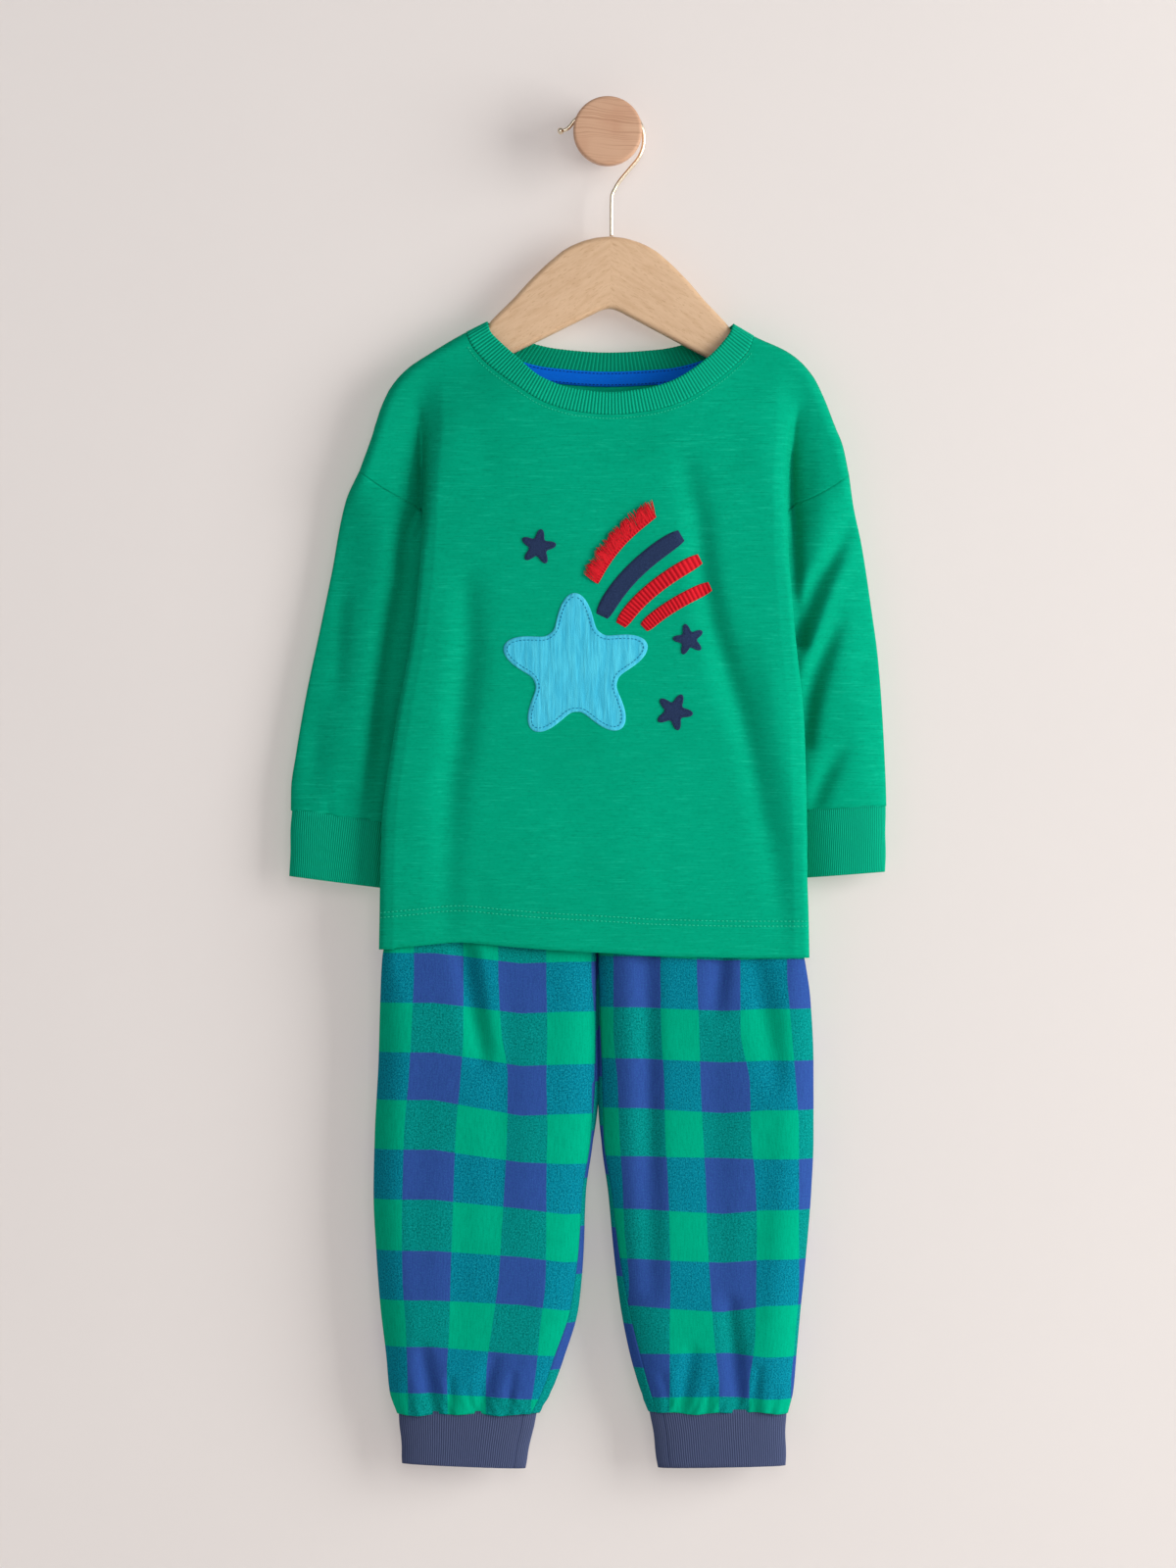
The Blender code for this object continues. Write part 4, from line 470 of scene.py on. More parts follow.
def beechFinish():  # each arm's grain runs along it and meets the other at the glued joint
    f = Finish("varnished beech", beech["roughness"], 0.4)
    place = f.place()
    x, y, z = [f.axis(place, name) for name in "XYZ"]
    out = f.maths("ABSOLUTE", x - beech["joint"])
    cos, sin = math.cos(math.radians(beech["lean"])), math.sin(math.radians(beech["lean"]))
    along, across = out * cos - z * sin, out * sin + z * cos
    side = f.steep(x, beech["joint"] - 0.0002, beech["joint"] + 0.0002) * 40
    bands = f.noise(f.joined(along * 60, across * 330, y * 120 + side), 1, 3, 0.55)
    rays = f.noise(f.joined(along * 260, across * 1500, y * 300 + side), 1, 1)
    flecks = f.steep(rays, 0.60, 0.72)
    tone = f.blend(f.steep(bands, 0.35, 0.75) * 0.42, beech["tone"], beech["dark"])
    f.feed("Roughness", bands * 0.16 + (beech["roughness"] - 0.08))
    return f.done(f.blend(flecks * 0.42, tone, beech["fleck"]), flecks * -0.5 + bands * 0.3, 0.2, 0.2)


def pineFinish():
    f = Finish("oiled pine", pine["roughness"], 0.35)
    place = f.place()
    x, y, z = [f.axis(place, name) for name in "XYZ"]
    wander, pores = f.noise(place, (22, 22, 60)), f.noise(place, (160, 160, 1900))
    height = z + x * 0.07 + (wander - 0.5) * 0.009
    late = f.steep(f.noise(f.joined(height * 760, x * 6, y * 6), 1, 2, 0.6), 0.5, 0.68)
    tone = f.blend(f.steep(f.noise(place, 40), 0.35, 0.7) * 0.5, pine["tone"], pine["warm"])
    tone = f.blend(late * 0.62 + f.steep(pores, 0.6, 0.8) * 0.15, tone, pine["late"])
    return f.done(tone, late + pores * 0.3, 0.15, 0.2)


def wireFinish():
    f = Finish("pale brass wire", wire["roughness"], 0.5, {"Metallic": 1.0})
    rub = f.noise(f.place(), (900, 900, 120))
    f.feed("Roughness", rub * 0.12 + (wire["roughness"] - 0.05))
    return f.done(f.blend(rub * 0.35, wire["tone"], wire["rubbed"]))


def wallFinish(name, code, glow):  # a wall glows a little, which softens the shadows on it
    f = Finish(name, 0.95, 0.1, {"Emission Color": (*tint("EADEDB"), 1), "Emission Strength": glow})
    clear = f.node("ShaderNodeBsdfTransparent")
    behind = f.node("ShaderNodeNewGeometry", out="Backfacing")
    seen = f.node("ShaderNodeMixShader", None, {0: behind, 1: Sock(f, f.shader.outputs[0]), 2: clear})
    f.tree.links.new(seen.link, f.tree.nodes["Material Output"].inputs["Surface"])
    return f.done(f.blend(f.noise(f.place(), 3), tint(code, 0.98 - glow), tint(code, 1.01 - glow)))


jerseyCloth, flannelCloth, gauzeCloth, navyFelt = jerseyFinish(), flannelFinish(), gauzeFinish(), feltFinish()
greenRibKnit, navyRibKnit = ribFinish("green rib knit", rib), ribFinish("navy rib knit", navyRib)
redTrim = ribFinish("red ribbed trim", trim)
print("finishes made")


# the top, sections from hem to neck in mm, wrap in thousandths

top = {
    "z": (-576, -545, -515, -480, -416.5, -335, -285, -236.3, -198, -130),
    "left": (-158.8, -158.2, -157.8, -156.7, -148.2, -134, -129.2, -127.2, -124, -123.6),
    "right": (140, 139.4, 138.5, 138.2, 136.7, 129, 125.6, 125.1, 127, 127),
    "wrap": (100, 300, 500, 600, 750, 950, 1000, 1000, 1000, 1000),
    "front": (-43.2, -43, -42.5, -42.2, -42, -41.8, -41.2, -40, -38.5, -36),
    "crown": (3.6, 3.6, 3.6, 3.6, 3.6, 3.4, 3, 2.6, 1.8, 1),
    "back": (-7, -7, -6.6, -6.4, -6.4, -6.8, -7.4, -8, -8.6, -9),
    "ridge": -0.0200, "nearFront": -0.0288, "nearBack": -0.0090, "curl": 0.0085, "roundness": 2.6,
    "seamHalf": 0.00012, "fullDepth": 0.060, "underarm": -0.285, "foldTop": -0.196, "foldOpen": 0.022,
    "openAbove": 0.04, "openOver": 0.05, "wrapFrom": 0.0048, "wrapOver": 0.003, "wing": -0.0272,
    "foot": {-1: -0.258, 1: -0.257}, "sag": 0.002, "collar": -0.150, "hemLevel": -0.57,
    "spread": (-10, -4.5, -0.5, 2.2, 5, 8, 10.8, 14.5), "fold": (10, 3, 0.2, 2, 8, 14, 9.2, -2.5),
    "drop": (0, 1.4, 4.8, 7.8, 9.8, 10.6, 13.6, 15), "steps": (0, 1, 2, 3, 4, 5, 6, 7),
    "shoulder": {
        -1: ((83.6, -130.2), (98.6, -137.7), (121.7, -151.3), (140.1, -163.9), (151, -176.5), (157.8, -190.7),
             (163.8, -209.8), (172.7, -234.3)),
        1: ((87.4, -131.8), (102, -140.4), (128.2, -153.3), (142.8, -168.3), (151, -184.6), (158.4, -203.7),
            (163.4, -215.9), (168, -237)),
    },
    "neckFront": ((-98.6, -137.7), (-96.2, -144.6), (-90, -153.8), (-81.6, -162.2), (-63.2, -175.8),
                  (-42.8, -188), (-21.1, -194.1), (2, -196.2), (26, -194.1), (47.6, -188.7), (70.7, -175.8),
                  (89.8, -160.1), (98.5, -150), (102, -140.4)),
    "neckBack": ((-98.6, -137.7), (-90, -144.7), (-70, -155.2), (-40, -162.8), (0, -165.5), (40, -163.6),
                 (72, -156), (93, -146.8), (102, -140.4)),
    "hem": ((-158.8, -566.5), (-131.9, -564), (-102.7, -561.5), (-72.8, -564), (-42.8, -566.4), (0, -568.8),
            (35.4, -570.9), (105.4, -572.2), (140, -572.2)),
    # x0, z0, x1, z1, width, depth
    "creases": ((-92, -512, -84, -548, 7, 0.5), (18, -440, 4, -560, 34, -1.7), (-60, -500, -44, -560, 16, 0.6),
                (-96, -170, -84, -230, 12, 0.5), (100, -172, 88, -232, 12, 0.5), (34, -470, 44, -552, 9, 0.4)),
    # width, then x, z and depth along each long valley
    "troughs": (
        (2.6, ((-131, -190, 0), (-129, -212, 6), (-128.8, -240, 8.5), (-129.8, -268, 8.5), (-132, -284, 7))),
        (5, ((-135, -180, 0), (-131.5, -206, 5), (-131, -234, 7.5), (-132.5, -262, 8), (-135, -284, 7))),
        (10, ((-139, -186, 0), (-139, -234, 4.5), (-141, -275, 5))),
        (2.6, ((133, -186, 0), (129.8, -202, 6), (128.2, -222, 8.5), (128, -250, 8.5), (128.2, -276, 8),
               (129, -300, 4))),
        (5, ((139, -178, 0), (133, -198, 5), (130.2, -222, 7), (130, -270, 7), (130.5, -300, 4))),
        (10, ((145, -174, 0), (139, -200, 5), (138, -234, 7.5), (137.5, -262, 7), (136, -290, 4))),
        (20, ((163, -196, 0), (171, -232, 3), (177, -270, 5))),
        (22, ((-162, -190, 0), (-172, -236, 4), (-186, -275, 6))),
        (9, ((50, -215, 0), (54, -234, 2), (62, -268, 3.8), (66, -309, 5.4), (73, -343, 5.8), (83, -377, 5.8),
             (92, -405, 4.6), (100, -440, 3.6), (106, -472, 2.8), (113, -500, 1.9), (120, -548, 0.8))),
        (12, ((104, -343, 0), (114, -384, -2.6), (126, -452, -3.8), (134, -500, -3.4), (138, -560, -1.6))),
        (16, ((84, -350, 0.6), (92, -380, 1.4), (98, -405, 0.8), (102, -425, 0))),
        (11, ((-98, -296, 0), (-98, -322, 3), (-97, -357, 4.6), (-101, -391, 4.8), (-104, -425, 4.4),
              (-109, -452, 3.8), (-110, -486, 2.8), (-112, -548, 1.4))),
        (26, ((-60, -440, 0), (-52, -500, -1.4), (-44, -566, -2.2))),
    ),
    "backDraw": 0.026, "drawAbove": 0.045, "drawGap": 0.0004, "drawBulge": 0.0009, "drawBulgeHigh": 0.012,
    "drawUneven": 0.0006, "corner": 0.75,
}
rowsBelow, rowsAbove = 72, 64  # rows of the body's grid below and above the underarm
rise = 1 - (1 - np.linspace(0, 1, rowsAbove)) ** 1.6
ridges = {}
for side, line in top["shoulder"].items():
    outs = np.linspace(line[0][0] * mm, line[-1][0] * mm, 130)
    ridges[side] = np.stack([side * outs, tableAt(line, outs)], 1)


def topAt(column, z):
    return read(top, column, z)


def shoulderZ(side, out):
    return tableAt(top["shoulder"][side], out)


def lineZ(name, x):
    return tableAt(top[name], x)


def sideStep(name, s):
    return smoothLine(top["steps"], top[name], s) * mm


def overHanger(level, x, z):  # the cloth rounds the hanger below the shoulder seams
    away = np.minimum(distanceTo(ridges[-1], x, z), distanceTo(ridges[1], x, z))
    away = np.maximum(0, away - top["seamHalf"])
    t = np.minimum(away / top["curl"], 1)
    rounded = (1 - (1 - t) ** top["roundness"]) ** (1 / top["roundness"])
    near, far = level
    return top["ridge"] + (mix(near, far, ease(away / top["fullDepth"])) - top["ridge"]) * rounded


def frontDepth(x, z, layer):
    return overHanger((top["nearFront"], layer + troughs(top["troughs"], x, z)), x, z)


def plainBack(x, z):
    return overHanger((top["nearBack"], topAt("back", z)), x, z)


def bodyLayer(x, z):
    left, right = topAt("left", z), topAt("right", z)
    across = (x - (left + right) / 2) / ((right - left) / 2)
    crown = topAt("crown", z) * np.maximum(0, 1 - across * across)
    loose = creased(top["creases"], x, z) + uneven(x, z, 0.11, 4) * 0.0004
    return topAt("front", z) - crown + loose


def foldLine(side, z):
    return topAt("right", z) if side > 0 else -topAt("left", z)


def sidePlace(side, s, z):  # out and depth of the front on its side columns, 0 in front to 7 at the sleeve
    spread, fold, drop = [sideStep(name, s) for name in ("spread", "fold", "drop")]
    line, front = foldLine(side, z), topAt("front", z)
    folded = 1 - ease((z - top["underarm"]) / (top["foldTop"] - top["underarm"]))
    wrapped = mix(1, topAt("wrap", z) / mm / 1000, ease((drop - top["wrapFrom"]) / top["wrapOver"]))
    out = mix(line + spread, line - fold * wrapped, folded)
    above = ease((top["foldTop"] + top["openAbove"] - z) / top["openOver"] + 0.35)
    opened = ease((spread + top["foldOpen"] / 2) / top["foldOpen"]) * above
    x = side * out
    layer = mix(mix(front, top["wing"], opened), front + drop, folded)
    return x, layer + (bodyLayer(x, z) - front) * ease(1 - s / 2)


def middleX(u, z):
    inset = top["fold"][0] * mm
    return mix(topAt("left", z) + inset, topAt("right", z) - inset, (u + 1) / 2)


def neckShare(side):  # where a neck corner lies across the front's middle, -1 to 1
    x, z = np.array(top["neckFront"][edgeOf[side]]) * mm
    half = (topAt("right", z) - topAt("left", z)) / 2 - top["fold"][0] * mm
    return (x - (topAt("left", z) + topAt("right", z)) / 2) / half


def heights(low, middle, high, below=rowsBelow):  # even below the underarm, closer toward the top
    even = mix(low, middle, np.linspace(0, 1, below, endpoint=False))
    return np.concatenate([even, mix(middle, high, rise)])


def column(place, low, high, topX):
    # one column of the front from hem to top, where place gives x and layer at any height
    z = heights(low, top["underarm"], high)
    x, layer = place(z)
    above = np.concatenate([np.zeros(rowsBelow), rise])
    x = x + (topX - x[-1]) * above ** 3
    return np.stack([x, frontDepth(x, z, layer), z], 1)


def frontColumns():
    made = {-1: [], 1: []}
    share = {side: neckShare(side) for side in (-1, 1)}
    for side in (-1, 1):
        for s in np.linspace(5, 0, 41):
            out = foldLine(side, top["collar"]) + sideStep("spread", s)
            hem = lineZ("hem", side * (foldLine(side, top["hemLevel"]) - sideStep("fold", s) * 0.3))
            made[side].append(column(lambda z: sidePlace(side, s, z), hem, shoulderZ(side, out), side * out))
        for w in np.linspace(0, 1, 12)[1:-1]:
            topX = mix(side * out, top["neckFront"][edgeOf[side]][0] * mm, w)

            def place(z):
                x = mix(sidePlace(side, 0, z)[0], middleX(share[side], z), w)
                return x, bodyLayer(x, z)

            hem = lineZ("hem", place(np.array([top["hemLevel"]]))[0])[0]
            made[side].append(column(place, hem, shoulderZ(side, abs(topX)), topX))
    middle = []
    collar = np.array([top["collar"]])
    off = {side: top["neckFront"][edgeOf[side]][0] * mm - middleX(share[side], collar)[0] for side in (-1, 1)}
    for t in np.linspace(-1, 1, 121):
        side = 1 if t > 0 else -1
        u = share[side] * math.sin(math.pi / 2 * abs(t))

        def place(z):
            x = middleX(u, z)
            return x, bodyLayer(x, z)

        topX = middleX(u, collar)[0] + off[side] * abs(t) ** 6
        middle.append(column(place, lineZ("hem", middleX(u, top["hemLevel"])), lineZ("neckFront", topX), topX))
    return np.array(made[-1] + middle + made[1][::-1])


def armholePoint(side, share):  # out and height along the armhole, foot to shoulder tip
    x, _ = sidePlace(side, 7.0, np.array([top["foot"][side]]))
    out, z = side * x[0], top["foot"][side]
    tip = np.array(top["shoulder"][side][-1]) * mm
    return mix(out, tip[0], share), mix(z, tip[1], share) - top["sag"] * math.sin(math.pi * share)


def wingColumns(side):
    made = []
    for s in np.linspace(5, 7, 15):
        out = foldLine(side, top["collar"]) + sideStep("spread", s)
        z = heights(0, mix(top["underarm"], top["foot"][side], (s - 5) / 2), shoulderZ(side, out), 0)
        x, layer = sidePlace(side, s, z)
        x = x + (side * out - x[-1]) * rise ** 3
        made.append(np.stack([x, frontDepth(x, z, layer), z], 1))
    seam = np.linspace(out, top["shoulder"][side][-1][0] * mm, 200)
    seam = resample(np.stack([seam, shoulderZ(side, seam)], 1), 101)
    off = x - side * mix(armholePoint(side, 0)[0], seam[0, 0], rise)
    for share in np.linspace(0, 1, 36)[1:]:
        low, high = armholePoint(side, share), seam[int(round(share * 100))]
        gone = ease(share / 0.35)
        z = mix(low[1], high[1], rise)
        x = side * mix(low[0], high[0], rise) + off * (1 - gone)
        made.append(np.stack([x, frontDepth(x, z, mix(layer, top["wing"], gone)), z], 1))
    return np.array(made)


def onRidge(grid, way):  # keeps front and back a hair apart along the shoulder
    grid = grid.copy()
    near = np.abs(grid[..., 1] - top["ridge"]) < 0.0002
    grid[..., 1] = np.where(near, top["ridge"] + way * 0.00003, grid[..., 1])
    return grid


frontBody = frontColumns()
wings = {side: wingColumns(side) for side in (-1, 1)}
for side in (-1, 1):
    wings[side][0] = frontBody[edgeOf[side]][rowsBelow:]
frontSheets = [onRidge(grid, -1) for grid in (frontBody, wings[-1], wings[1])]
topFront = clothPiece("top_front_cloth", frontSheets, jerseyCloth, "jersey", "top_front", 1.0, None, toFront)
onFront = surfaceOf(topFront.data)
seams = {side: frontBody[edgeOf[side]][:rowsBelow + 1] for side in (-1, 1)}


def backDepth(side, x, z):  # the back is drawn forward to meet the front along the side seams
    seam = seams[side]
    above = [[seam[-1, 0], top["underarm"] + top["drawAbove"]]]
    line = np.concatenate([seam[::6, [0, 2]], seam[-1:, [0, 2]], above])
    line = line[np.concatenate([[True], np.abs(np.diff(line[:, 1])) > 1e-6])]
    up = z - top["underarm"]
    gap = top["drawGap"] + top["drawBulge"] * np.exp(-(up / top["drawBulgeHigh"]) ** 2)
    near = 1 - np.minimum(distanceTo(line, x, z) / top["backDraw"], 1)
    drawn = (1 - np.sqrt(1 - near * near)) * (1 - ease(up / top["drawAbove"]))
    loose = uneven(x, z, 0.09, 9) * top["drawUneven"] * (1 - near)
    return mix(plainBack(x, z) + loose, np.interp(z, seam[:, 2], seam[:, 1]) + gap, drawn)


def backColumns():
    made = []
    corners = {side: top["neckBack"][edgeOf[side]][0] * mm for side in (-1, 1)}
    outer = {side: side * (foldLine(side, top["collar"]) + top["spread"][5] * mm) for side in (-1, 1)}
    for p in np.sin(np.linspace(-1, 1, 131) * math.pi / 2):
        side, share = -1 if p < 0 else 1, (p + 1) / 2
        edge = max(0, (abs(p) - top["corner"]) / (1 - top["corner"]))
        if edge:
            topX = mix(corners[side], outer[side], edge)
            topZ = shoulderZ(side, abs(topX))
        else:
            topX = mix(corners[-1], corners[1], (p / top["corner"] + 1) / 2)
            topZ = lineZ("neckBack", topX)
        hem = lineZ("hem", mix(seams[-1][0, 0], seams[1][0, 0], share))
        z = heights(hem, top["underarm"], topZ)
        left, right = [np.interp(z[:rowsBelow], seams[way][:, 2], seams[way][:, 0]) for way in (-1, 1)]
        opened = ease(rise / 0.8)
        own = wings[side][0][:, 0] - mix(seams[side][-1, 0], outer[side], opened)
        above = mix(mix(seams[-1][-1, 0], seams[1][-1, 0], share), topX, opened) + own * ease(edge)
        x = np.concatenate([mix(left, right, share), above])
        made.append(np.stack([x, backDepth(side, x, z), z], 1))
    return np.array(made)


backBody = backColumns()
backWings = {}
for side in (-1, 1):
    backWings[side] = wings[side].copy()
    backWings[side][..., 1] = backDepth(side, wings[side][..., 0], wings[side][..., 2])
    backWings[side][0] = backBody[edgeOf[side]][rowsBelow:]
backSheets = [onRidge(grid, 1) for grid in (backBody, backWings[-1], backWings[1])]
topBack = clothPiece("top_back_cloth", backSheets, jerseyCloth, "jersey", "top_back", 1.0, None, toBack)
onBack = surfaceOf(topBack.data)
print("body of the top made")


# sleeves, from the armhole to the cuff seam

sleeves = {
    -1: {
        "z": (-234.3, -255.3, -307, -346.5, -391.3, -430.8, -456, -470.4),
        "outer": (172.7, 182.2, 192.4, 200.6, 210.1, 216.9, 220.4, 220.6),
        "inner": (115, 118.5, 124, 130, 137, 144, 148.5, 152),
        "slant": (-40, -34, -20, -15, -12, -10, -9.2, -8.8),
        "front": (-27.2, -27.8, -28.2, -28.2, -28, -27.6, -27, -26.2),
        "back": (-9, -6.6, -5.2, -4.8, -4.8, -5, -5.2, -5.6),
        "troughs": (
            (11, ((-131, -262, 8), (-136, -300, 12), (-142, -326, 13), (-148, -357, 13), (-152, -384, 12.5),
                  (-154, -411, 12), (-157, -438, 10), (-159, -458, 6), (-161, -476, 2))),
            (26, ((-184, -262, 6), (-196, -330, 8.5), (-210, -400, 8), (-218, -450, 5), (-222, -480, 1))),
            (6, ((-183, -312, 0), (-185, -330, 1.8), (-187, -370, 1.8), (-191, -404, 0))),
            (7, ((-200, -392, 0), (-204, -430, 1.2), (-206, -465, 0.4))),
            (2.6, ((-194, -456, 0), (-194.5, -474, 1.4))), (6, ((-176, -416, 0), (-181, -460, 0.9))),
        ),
    },
    1: {
        "z": (-237, -257.4, -285.3, -327.4, -365.5, -411.1, -453.2, -467.2),
        "outer": (168, 170.9, 176.8, 183.3, 188.4, 191.8, 193.8, 194.2),
        "inner": (111, 114, 116, 119, 123, 127, 131, 133.5),
        "slant": (-40, -33, -23, -12, -7, -4.5, -3.5, -3.2),
        "front": (-27.2, -27.8, -28.2, -28.2, -28.2, -27.6, -27, -26.2),
        "back": (-9, -6.6, -5.2, -4.8, -4.8, -5, -5.2, -5.6),
        "troughs": (
            (5, ((127.8, -262, 11), (128.8, -296, 8), (130, -320, 5), (134, -352, 3))),
            (9, ((134, -262, 5), (134, -300, 2))),
            (6.5, ((168, -272, 1.5), (157, -292, 6), (148, -309, 7), (141, -329, 8), (133, -352, 9))),
            (6.5, ((162, -336, 1.5), (152, -357, 6.5), (145, -376, 8), (140, -395, 9), (136, -422, 7))),
            (6, ((168, -296, -1), (152, -325, -2.4), (143, -350, -2), (137, -368, -1))),
            (7, ((164, -424, 1), (153, -443, 4.5), (146, -458, 4.5), (141, -472, 2))),
            (22, ((176, -262, 5), (186, -300, 6), (194, -360, 6), (199, -420, 5), (201, -450, 3),
                  (202, -480, 1))),
            (8, ((186, -352, 0), (180, -370, 1.6), (170, -390, 0))),
        ),
    },
}
sleeveParts = ("outer", "inner", "slant", "front", "back")
# the armhole's shape is kept over the first shares of the sleeve's length
sleeveCut = {"rings": 104, "half": 40, "roundness": 2.6, "tuckIn": 0.0003, "tuckUp": 0.0002,
             "keepX": 0.3, "keepY": 0.13, "keepZ": 0.3, "uneven": 0.0005}


def makeSleeve(side):
    own, half, power = sleeves[side], sleeveCut["half"], sleeveCut["roundness"]
    seam, behind = wings[side][::-1, 0], backWings[side][::-1, 0]
    tip, under = seam[0], seam[-1]
    reach = (seam[:, 0] - tip[0]) / (under[0] - tip[0])
    across = (1 - np.cos(np.linspace(0, math.pi, half + 1))) / 2
    across = np.concatenate([across, across[-2::-1]])
    way = np.where(np.arange(len(across)) <= half, 1, -1)  # 1 in front, -1 behind
    startX = mix(tip[0], under[0], across)
    startY = np.where(way > 0, np.interp(across, reach, seam[:, 1]), np.interp(across, reach, behind[:, 1]))
    startY = startY + way * sleeveCut["tuckIn"]
    startZ = np.interp(across, reach, seam[:, 2]) + sleeveCut["tuckUp"] - tip[2]
    bulge = np.maximum(0, 1 - np.abs(2 * across - 1) ** power) ** (1 / power)
    rings = []
    for share in np.linspace(0, 1, sleeveCut["rings"]):
        z = mix(own["z"][0], own["z"][-1], share) * mm
        outer, inner, slant, front, back = [read(own, name, z) for name in sleeveParts]
        keep = 1 - ease(share / np.array([sleeveCut["keep" + axis] for axis in "XYZ"]))
        x = side * mix(outer, inner, across)
        high = z + slant * across
        loose = troughs(own["troughs"], x, high) + uneven(x, high, 0.05, 21 + side) * sleeveCut["uneven"]
        y = (front + back) / 2 - (back - front) / 2 * way * bulge
        y += np.where(way > 0, 1, -0.2) * loose * bulge
        first = np.stack([startX + side * (outer - own["outer"][0] * mm), startY, startZ + z], 1)
        rings.append(np.stack([x, y, high], 1) * (1 - keep) + first * keep)
    name = f"sleeve_{words[side]}"
    return clothPiece(name + "_cloth", [np.array(rings)], jerseyCloth, "jersey", name, 1.0)


sleevePieces = {side: makeSleeve(side) for side in (-1, 1)}
print("sleeves made")


# ribbed bands, each point's height on its rib is in the cut attribute, which the rib finishes turn into painted
# shade in the grooves

perRib = 6  # points round one rib


def oval(end, side, count, power):  # a ring round a cuff, from its outer side by the front
    turn = np.linspace(0, 2 * math.pi, 1441)[:-1]
    c, s = np.cos(turn), np.sin(turn)
    across = np.sign(c) * np.abs(c) ** (2 / power)
    out = mix(end["inner"], end["outer"], (across + 1) / 2)
    half = (end["back"] - end["front"]) / 2 * (1 - end["tuck"] * np.maximum(0, -across) ** 2)
    y = (end["front"] + end["back"]) / 2 - half * np.sign(s) * np.abs(s) ** (2 / power)
    ring = np.stack([side * out, y, end["z"] + end["slant"] * (1 - across) / 2], 1) * mm
    return resample(np.concatenate([ring, ring[:1]]), count + 1)


def ribbed(rings, ribs, rise, seamAt=None):
    # rings run along a band, each closed on its first point; returns grid and marks
    rings = np.asarray(rings, float)
    count = rings.shape[1] - 1
    around = np.roll(rings[:, :-1], -1, axis=1) - np.roll(rings[:, :-1], 1, axis=1)
    out = unit(np.cross(around, np.gradient(rings[:, :-1], axis=0)))
    if np.sum(out * (rings[:, :-1] - rings[:, :-1].mean(axis=1, keepdims=True))) < 0:
        out = -out
    turn = np.arange(count) / count
    crest = np.repeat((0.5 + 0.5 * np.cos(2 * math.pi * turn * ribs))[None] ** 0.8, len(rings), axis=0)
    if seamAt is not None:
        # at the seam the ribs sink to the groove, and the mark gives it the painted groove shade
        gap = np.abs((turn - seamAt + 0.5) % 1 - 0.5) * ribs
        crest = crest * np.clip(gap / 0.7, 0, 1)
        out = out * np.where(gap < 0.5, 1.6, 1)[None, :, None]
    lifted = rings[:, :-1] + out * (crest - 0.5)[..., None] * rise * mm
    marks = np.stack([crest, crest * 0, crest * 0], -1)
    return [np.concatenate([grid, grid[:, :1]], axis=1) for grid in (lifted, marks)]


# each end of a cuff in mm: z, outer, inner, slant, front, back, and how much the inner side is tucked
endParts = ("z", "outer", "inner", "slant", "front", "back", "tuck")
cuffs = {
    "cuff_left": {"side": -1, "bow": 0.3, "lean": 5, "ends": (
        (-469.6, 219.6, 152.7, -8.8, -25.4, -6.2, 0.3), (-516, 221.2, 153, -8.8, -25.8, -6, 0.5))},
    "cuff_right": {"side": 1, "bow": 0.3, "lean": 2, "ends": (
        (-466.4, 193.2, 134.1, -3.2, -25.4, -6.2, 0.4), (-513, 193.2, 134.2, -4.4, -25.8, -6, 0.8))},
    "ankle_left": {"side": -1, "bow": -0.3, "lean": 0, "ends": (
        (-886.6, 145.2, 48.8, 0, -35.2, -15, 0), (-923.5, 142.4, 57.4, -3.5, -35, -15.2, 0))},
    "ankle_right": {"side": 1, "bow": -0.3, "lean": 0, "ends": (
        (-885.6, 124, 29.2, 0, -35.2, -15, 0), (-925, 123.6, 35, -1.5, -35, -15.2, 0))},
}
cuffKinds = {"cuff": {"ribs": 96, "seam": None, "finish": greenRibKnit, "slot": "green_rib"},
             "ankle": {"ribs": 126, "seam": 0.44, "finish": navyRibKnit, "slot": "navy_rib"}}
cuffCut = {"rings": 15, "rise": 0.4, "roundness": 2.4, "flare": 0.35, "sway": 0.25, "thick": 1.2}


def makeCuff(node):
    own, kind = cuffs[node], cuffKinds[node.split("_")[0]]
    side, ribs = own["side"], kind["ribs"]
    rings, steps = [], np.arange(ribs * perRib + 1)
    for share in np.linspace(0, 1, cuffCut["rings"]):
        end = dict(zip(endParts, mix(*np.array(own["ends"]), share)))
        bow = own["bow"] * math.sin(math.pi * min(1, share * 1.15))
        swell = bow + cuffCut["sway"] * math.sin(share * 9 + side)
        end["outer"] += swell
        end["inner"] -= swell
        if share == 1:
            end["front"] += cuffCut["flare"]
            end["back"] -= cuffCut["flare"]
        ring = oval(end, side, ribs * perRib, cuffCut["roundness"])
        turned = steps - own["lean"] * perRib * share * np.sin(math.pi * steps / steps[-1]) ** 2
        rings.append(placesAt(turned, steps, ring))
    grid, marks = ribbed(rings, ribs, cuffCut["rise"], kind["seam"])
    return clothPiece(node + "_rib", [grid], kind["finish"], kind["slot"], node, cuffCut["thick"], [marks])


cuffPieces = {node: makeCuff(node) for node in cuffs}

neck = {
    "freeFront": ((-83.6, -130.2), (-81.6, -137), (-74.5, -145), (-65.3, -153.3), (-44.9, -170.3),
                  (-22, -178.2), (2, -180.5), (23, -178.4), (41.5, -173.7), (70, -155.4), (80, -145),
                  (85.6, -137), (87.4, -131.8)),
    "freeBack": ((-83.6, -130.2), (-76, -135.2), (-60, -142.2), (-35, -148.4), (0, -151), (35, -149),
                 (62, -143), (79, -136.6), (87.4, -131.8)),
    "ribs": (104, 80), "rise": 0.5, "thick": 1.1,
}


